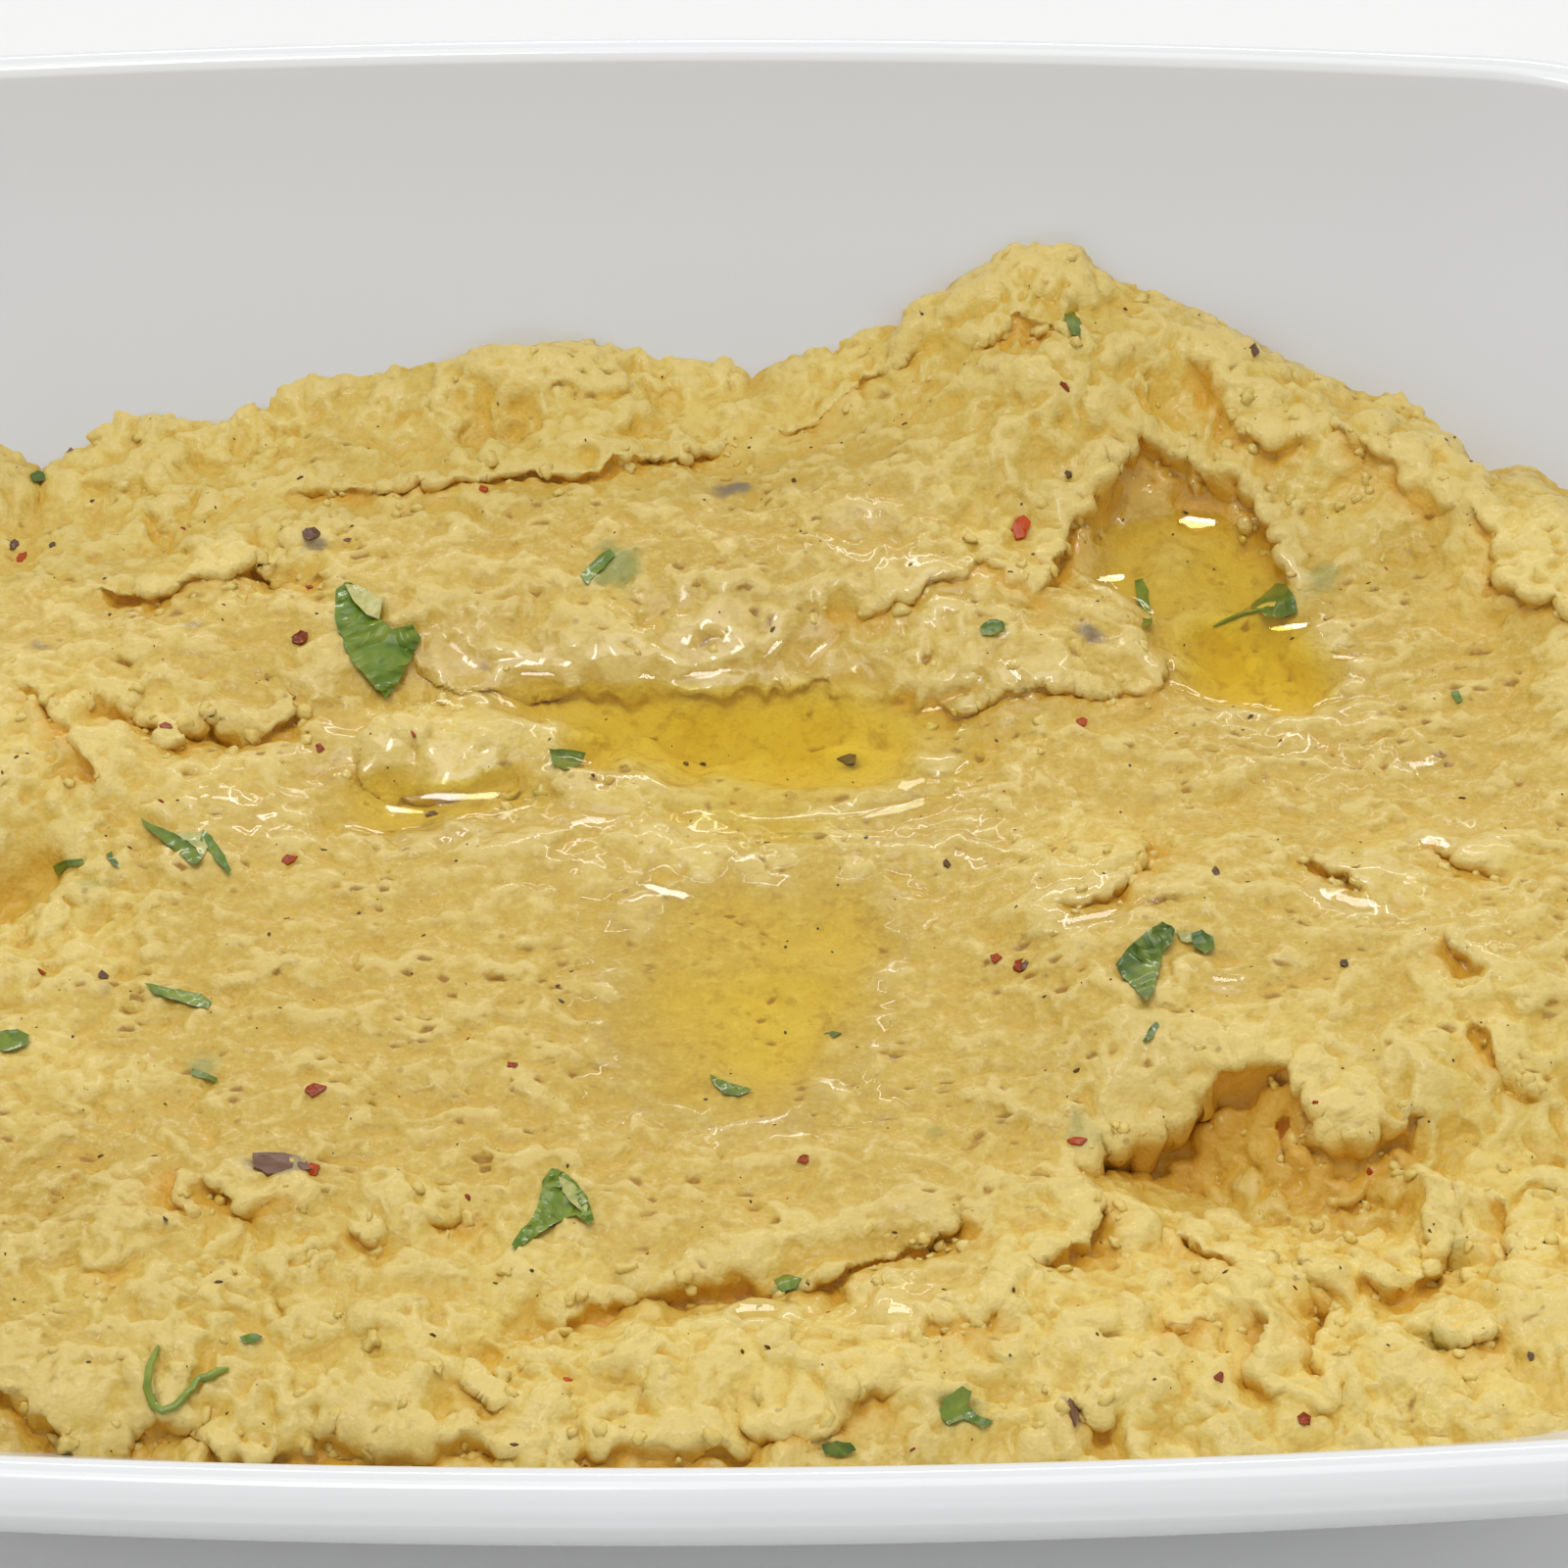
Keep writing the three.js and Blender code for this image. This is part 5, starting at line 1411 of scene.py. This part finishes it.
def chips(rows, seed, ragged):
    """Thin broken flakes: angular outlines, slightly cupped."""
    rng = np.random.default_rng(seed)
    parts = []
    for u, y, wide, tall, tone in rows:
        p, n, _ = hit(u, y)
        if p is None:
            continue
        a, b = wide * 0.0364, tall * 0.0364 / 0.8
        k = int(rng.integers(5, 8))
        t = (np.arange(k) + rng.uniform(-0.32, 0.32, k)) * 2 * np.pi / k + rng.uniform(0, 6)
        corner = np.stack([np.cos(t), np.sin(t)], 1) * rng.uniform(ragged, 1.15, k)[:, None]
        edge = np.stack([corner, corner + 0.5 * (np.roll(corner, -1, 0) - corner) + rng.normal(size=(k, 2)) * 0.05], 1).reshape(-1, 2)
        m = len(edge)
        flat = np.concatenate([edge, 0.55 * edge + rng.normal(size=(m, 2)) * 0.04, [[0.0, 0.0]]])
        cup = rng.normal(size=3) * (0.14, 0.14, 0.10)
        high = cup[0] * (flat**2).sum(1) + cup[1] * flat[:, 0] * flat[:, 1] + cup[2] * flat[:, 0] + rng.normal(size=len(flat)) * 0.06
        c = min(a, b)
        top = np.column_stack([flat[:, 0] * a, flat[:, 1] * b, high * c])
        i, j = np.arange(m), (np.arange(m) + 1) % m
        faces = np.concatenate([np.stack([i, j, j + m], 1), np.stack([i, j + m, i + m], 1), np.stack([i + m, j + m, np.full(m, 2 * m)], 1)])
        co, fc = closed_sheet(top, faces, np.array([0, 0, -(0.16 + 0.22 * c)]))
        shade = np.clip(tone + rng.normal(size=len(co)) * 0.07, 0, 1)
        parts.append((lay(p, n * 0.6 + np.array((0, -0.1, 0.4)), co, 0.12 + 0.22 * c), fc, shade))
    return parts


def scattered(count, seed, least, most):
    """Tiny flecks over the whole dip, set by chance."""
    rng = np.random.default_rng(seed)
    v, f = ball(1)
    parts = []
    while len(parts) < count:
        x, y = rng.uniform(-80, 80), rng.uniform(-60, 66)
        p, n = drop(x, y)
        if p is None or n[2] < 0.5 or inset_of(np.array([x]), np.array([y]))[0] < 12:
            continue
        r = least + (most - least) * rng.random() ** 2.2
        w = v * (1 + 0.3 * rng.normal(size=(len(v), 1)).clip(-1, 1)) * (r * rng.uniform(0.9, 1.8), r * rng.uniform(0.6, 1.0), 0.45 * r)
        t = rng.uniform(0, math.pi)
        w = np.stack([w[:, 0] * math.cos(t) - w[:, 1] * math.sin(t), w[:, 0] * math.sin(t) + w[:, 1] * math.cos(t), w[:, 2]], 1)
        parts.append((lay(p, n, w, 0.05 * r), f, rng.random()))
    return parts


def herb_material():
    m, t, p = material("green_herb")
    place = node(t, "ShaderNodeTexCoord").outputs["Object"]
    shade, rib = attr(t, "shade"), attr(t, "rib")
    fine = texture(t, place, 900.0, 3.0)
    wide = texture(t, place, 330.0, 2.0)
    base = mix(t, ramp(t, shade, 0.05, 0.6), srgb(68, 94, 16), srgb(104, 132, 22))
    base = mix(t, ramp(t, wide, 0.42, 0.66, 0.0, 0.60), base, srgb(142, 154, 50))
    base = mix(t, ramp(t, wide, 0.46, 0.30, 0.0, 0.60), base, srgb(70, 94, 20))
    # painted highlight: the palest leaf sheets mixed toward a pale glare
    base = mix(t, ramp(t, shade, 0.6, 1.0), base, srgb(204, 196, 122))
    base = mix(t, ramp(t, rib, 0.16, 0.02, 0.0, 0.35), base, srgb(150, 164, 50))
    base = mix(t, ramp(t, fine, 0.40, 0.70, 0.0, 0.40), base, srgb(78, 108, 20))
    t.links.new(base, p.inputs["Base Color"])
    p.inputs["Roughness"].default_value = 0.34
    p.inputs["Specular IOR Level"].default_value = 0.30
    p.inputs["Coat Weight"].default_value = 0.55
    p.inputs["Coat Roughness"].default_value = 0.08
    b = node(t, "ShaderNodeBump", ins={"Height": fine, "Strength": 0.35, "Distance": 0.0003})
    t.links.new(b.outputs[0], p.inputs["Normal"])
    return m


def flake_material(name, dark, light):
    m, t, p = material(name)
    place = node(t, "ShaderNodeTexCoord").outputs["Object"]
    fine = texture(t, place, 1500.0, 2.0)
    base = mix(t, ramp(t, attr(t, "tone"), 0.1, 1.0), dark, light)
    base = mix(t, ramp(t, fine, 0.40, 0.70, 0.0, 0.40), base, mix(t, 1.0, base, (0.7, 0.62, 0.6, 1), "MULTIPLY"))
    t.links.new(base, p.inputs["Base Color"])
    p.inputs["Roughness"].default_value = 0.30
    p.inputs["Specular IOR Level"].default_value = 0.30
    return m


def films_object():
    """Thin films of oil on the paste and the pools, each a low closed lens."""
    rng = np.random.default_rng(61)
    m = 30
    t = 2 * np.pi * np.arange(m) / m
    i, j = np.arange(m), (np.arange(m) + 1) % m
    parts = []
    for u, v, a, b, deg, which in GLINTS:
        p, _, _ = hit(u, v)
        if p is None:
            continue
        thick = 0.45
        for level, shores in POOLS.values():
            cx, cy = plan(u, v, level)
            near = max(float(pool_distance(np.array([cx]), np.array([cy]), pts, level)[0]) for pts, _, _ in shores)
            if near > 0 and p[2] < level - 0.05:
                p, thick = np.array((cx, cy, level + 0.03)), 0.10
        n = mirror(p, which)
        e = np.array((math.cos(math.radians(deg)), math.sin(math.radians(deg)), 0.0))
        e = e - n * (e @ n)
        e /= np.linalg.norm(e)
        g = np.cross(n, e)
        a = 1.25 * a
        f = rng.uniform(0, 6.28, 3)
        wave = 0.16 * np.sin(2 * t + f[0]) + 0.14 * np.sin(3 * t + f[1]) + 0.10 * np.sin(5 * t + f[2])
        top = [p + n * (0.03 + 0.018 * b)]
        faces = [np.stack([np.zeros(m, int), 1 + i, 1 + j], 1)]
        for k, r in enumerate((0.30, 0.55, 0.75, 0.90, 1.0)):
            w = r * (1 + wave * r * r)
            high = 0.03 + 0.018 * b * (1 - r * r) - (0.12 if r == 1.0 else 0.0)
            top += list(p + (a * w * np.cos(t))[:, None] * e + (b * w * np.sin(t))[:, None] * g + n * high)
            if k:
                q = 1 + (k - 1) * m
                faces += [np.stack([q + i, q + m + i, q + m + j], 1), np.stack([q + i, q + m + j, q + j], 1)]
        top = np.array(top)
        co, fc = closed_sheet(top, np.concatenate(faces), -n * thick)
        parts.append((co, fc, np.repeat((0.12, 0.0), len(top))))
    return joined("oil_films", parts, ("depth",))


films = films_object()
films.data.materials.append(_oil)
herbs = herbs_object()
herbs.data.materials.append(herb_material())
flakes = joined("chilli_flakes", chips(FLAKES, 31, 0.55) + [(c, f, 0.3 + 0.5 * k) for c, f, k in scattered(30, 32, 0.14, 0.42)], ("tone",))
flakes.data.materials.append(flake_material("red_chilli", srgb(110, 50, 10), srgb(194, 76, 12)))
bits = joined("dark_bits", chips(BITS, 41, 0.85) + [(c, f, 0.1 + 0.35 * k) for c, f, k in scattered(440, 42, 0.07, 0.22)], ("tone",))
bits.data.materials.append(flake_material("dark_seasoning", srgb(92, 66, 24), srgb(120, 88, 68)))
for _o, _s in ((films, "oil"), (herbs, "herb"), (flakes, "chilli"), (bits, "speck")):
    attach(_o, "root")


# ------------------------------------------------------------------- studio
def studio():
    floor = mesh_object("floor", np.array([[-1500, -1500, -0.05], [1500, -1500, -0.05], [1500, 1500, -0.05], [-1500, 1500, -0.05]]), [(0, 1, 2, 3)])
    m, t, p = material("pale_floor")
    place = node(t, "ShaderNodeTexCoord").outputs["Object"]
    n = texture(t, place, 6.0, 4.0)
    t.links.new(mix(t, n, (0.88, 0.88, 0.875, 1), (0.92, 0.92, 0.915, 1)), p.inputs["Base Color"])
    p.inputs["Roughness"].default_value = 0.7
    floor.data.materials.append(m)
    w = bpy.data.worlds.new("soft_studio")
    sc = bpy.context.scene
    sc.world = w
    w.use_nodes = True
    w.node_tree.nodes["Background"].inputs["Color"].default_value = (1.0, 1.0, 1.0, 1)
    w.node_tree.nodes["Background"].inputs["Strength"].default_value = 0.50

    def light(name, at, look, size, power, colour=(1, 1, 1)):
        l = bpy.data.lights.new(name, "AREA")
        l.shape, l.size, l.size_y, l.energy, l.color = "RECTANGLE", size[0], size[1], power, colour
        o = bpy.data.objects.new(name, l)
        o.location = at
        o.rotation_euler = (Vector(look) - Vector(at)).to_track_quat("-Z", "Y").to_euler()
        sc.collection.objects.link(o)

    light("overhead", (0.0, 0.12, 0.95), (0, 0, 0.03), (0.9, 0.5), 3.0)
    light("front", (0.0, -1.0, 0.16), (0, 0, 0.03), (1.4, 0.5), 1.6)
    light("lamp", (-0.12, -0.05, 0.95), (0, 0, 0.03), (0.22, 0.10), 1.0)
    light("window", (0.05, 0.95, 0.55), (0, 0, 0.03), (1.2, 0.06), 2.6)
    c = bpy.data.cameras.new("camera")
    c.sensor_width = 36.0
    c.sensor_fit = "HORIZONTAL"
    c.lens = 18.0 / math.tan(math.radians(FOV / 2))
    c.clip_start = 0.01
    o = bpy.data.objects.new("camera", c)
    o.matrix_world = Matrix(((RIGHT[0], UP[0], -FWD[0], POS[0] * MM), (RIGHT[1], UP[1], -FWD[1], POS[1] * MM),
                             (RIGHT[2], UP[2], -FWD[2], POS[2] * MM), (0, 0, 0, 1)))
    sc.collection.objects.link(o)
    sc.camera = o
    sc.view_settings.view_transform = "Standard"
    sc.cycles.max_bounces, sc.cycles.diffuse_bounces, sc.cycles.glossy_bounces = 6, 3, 2


studio()
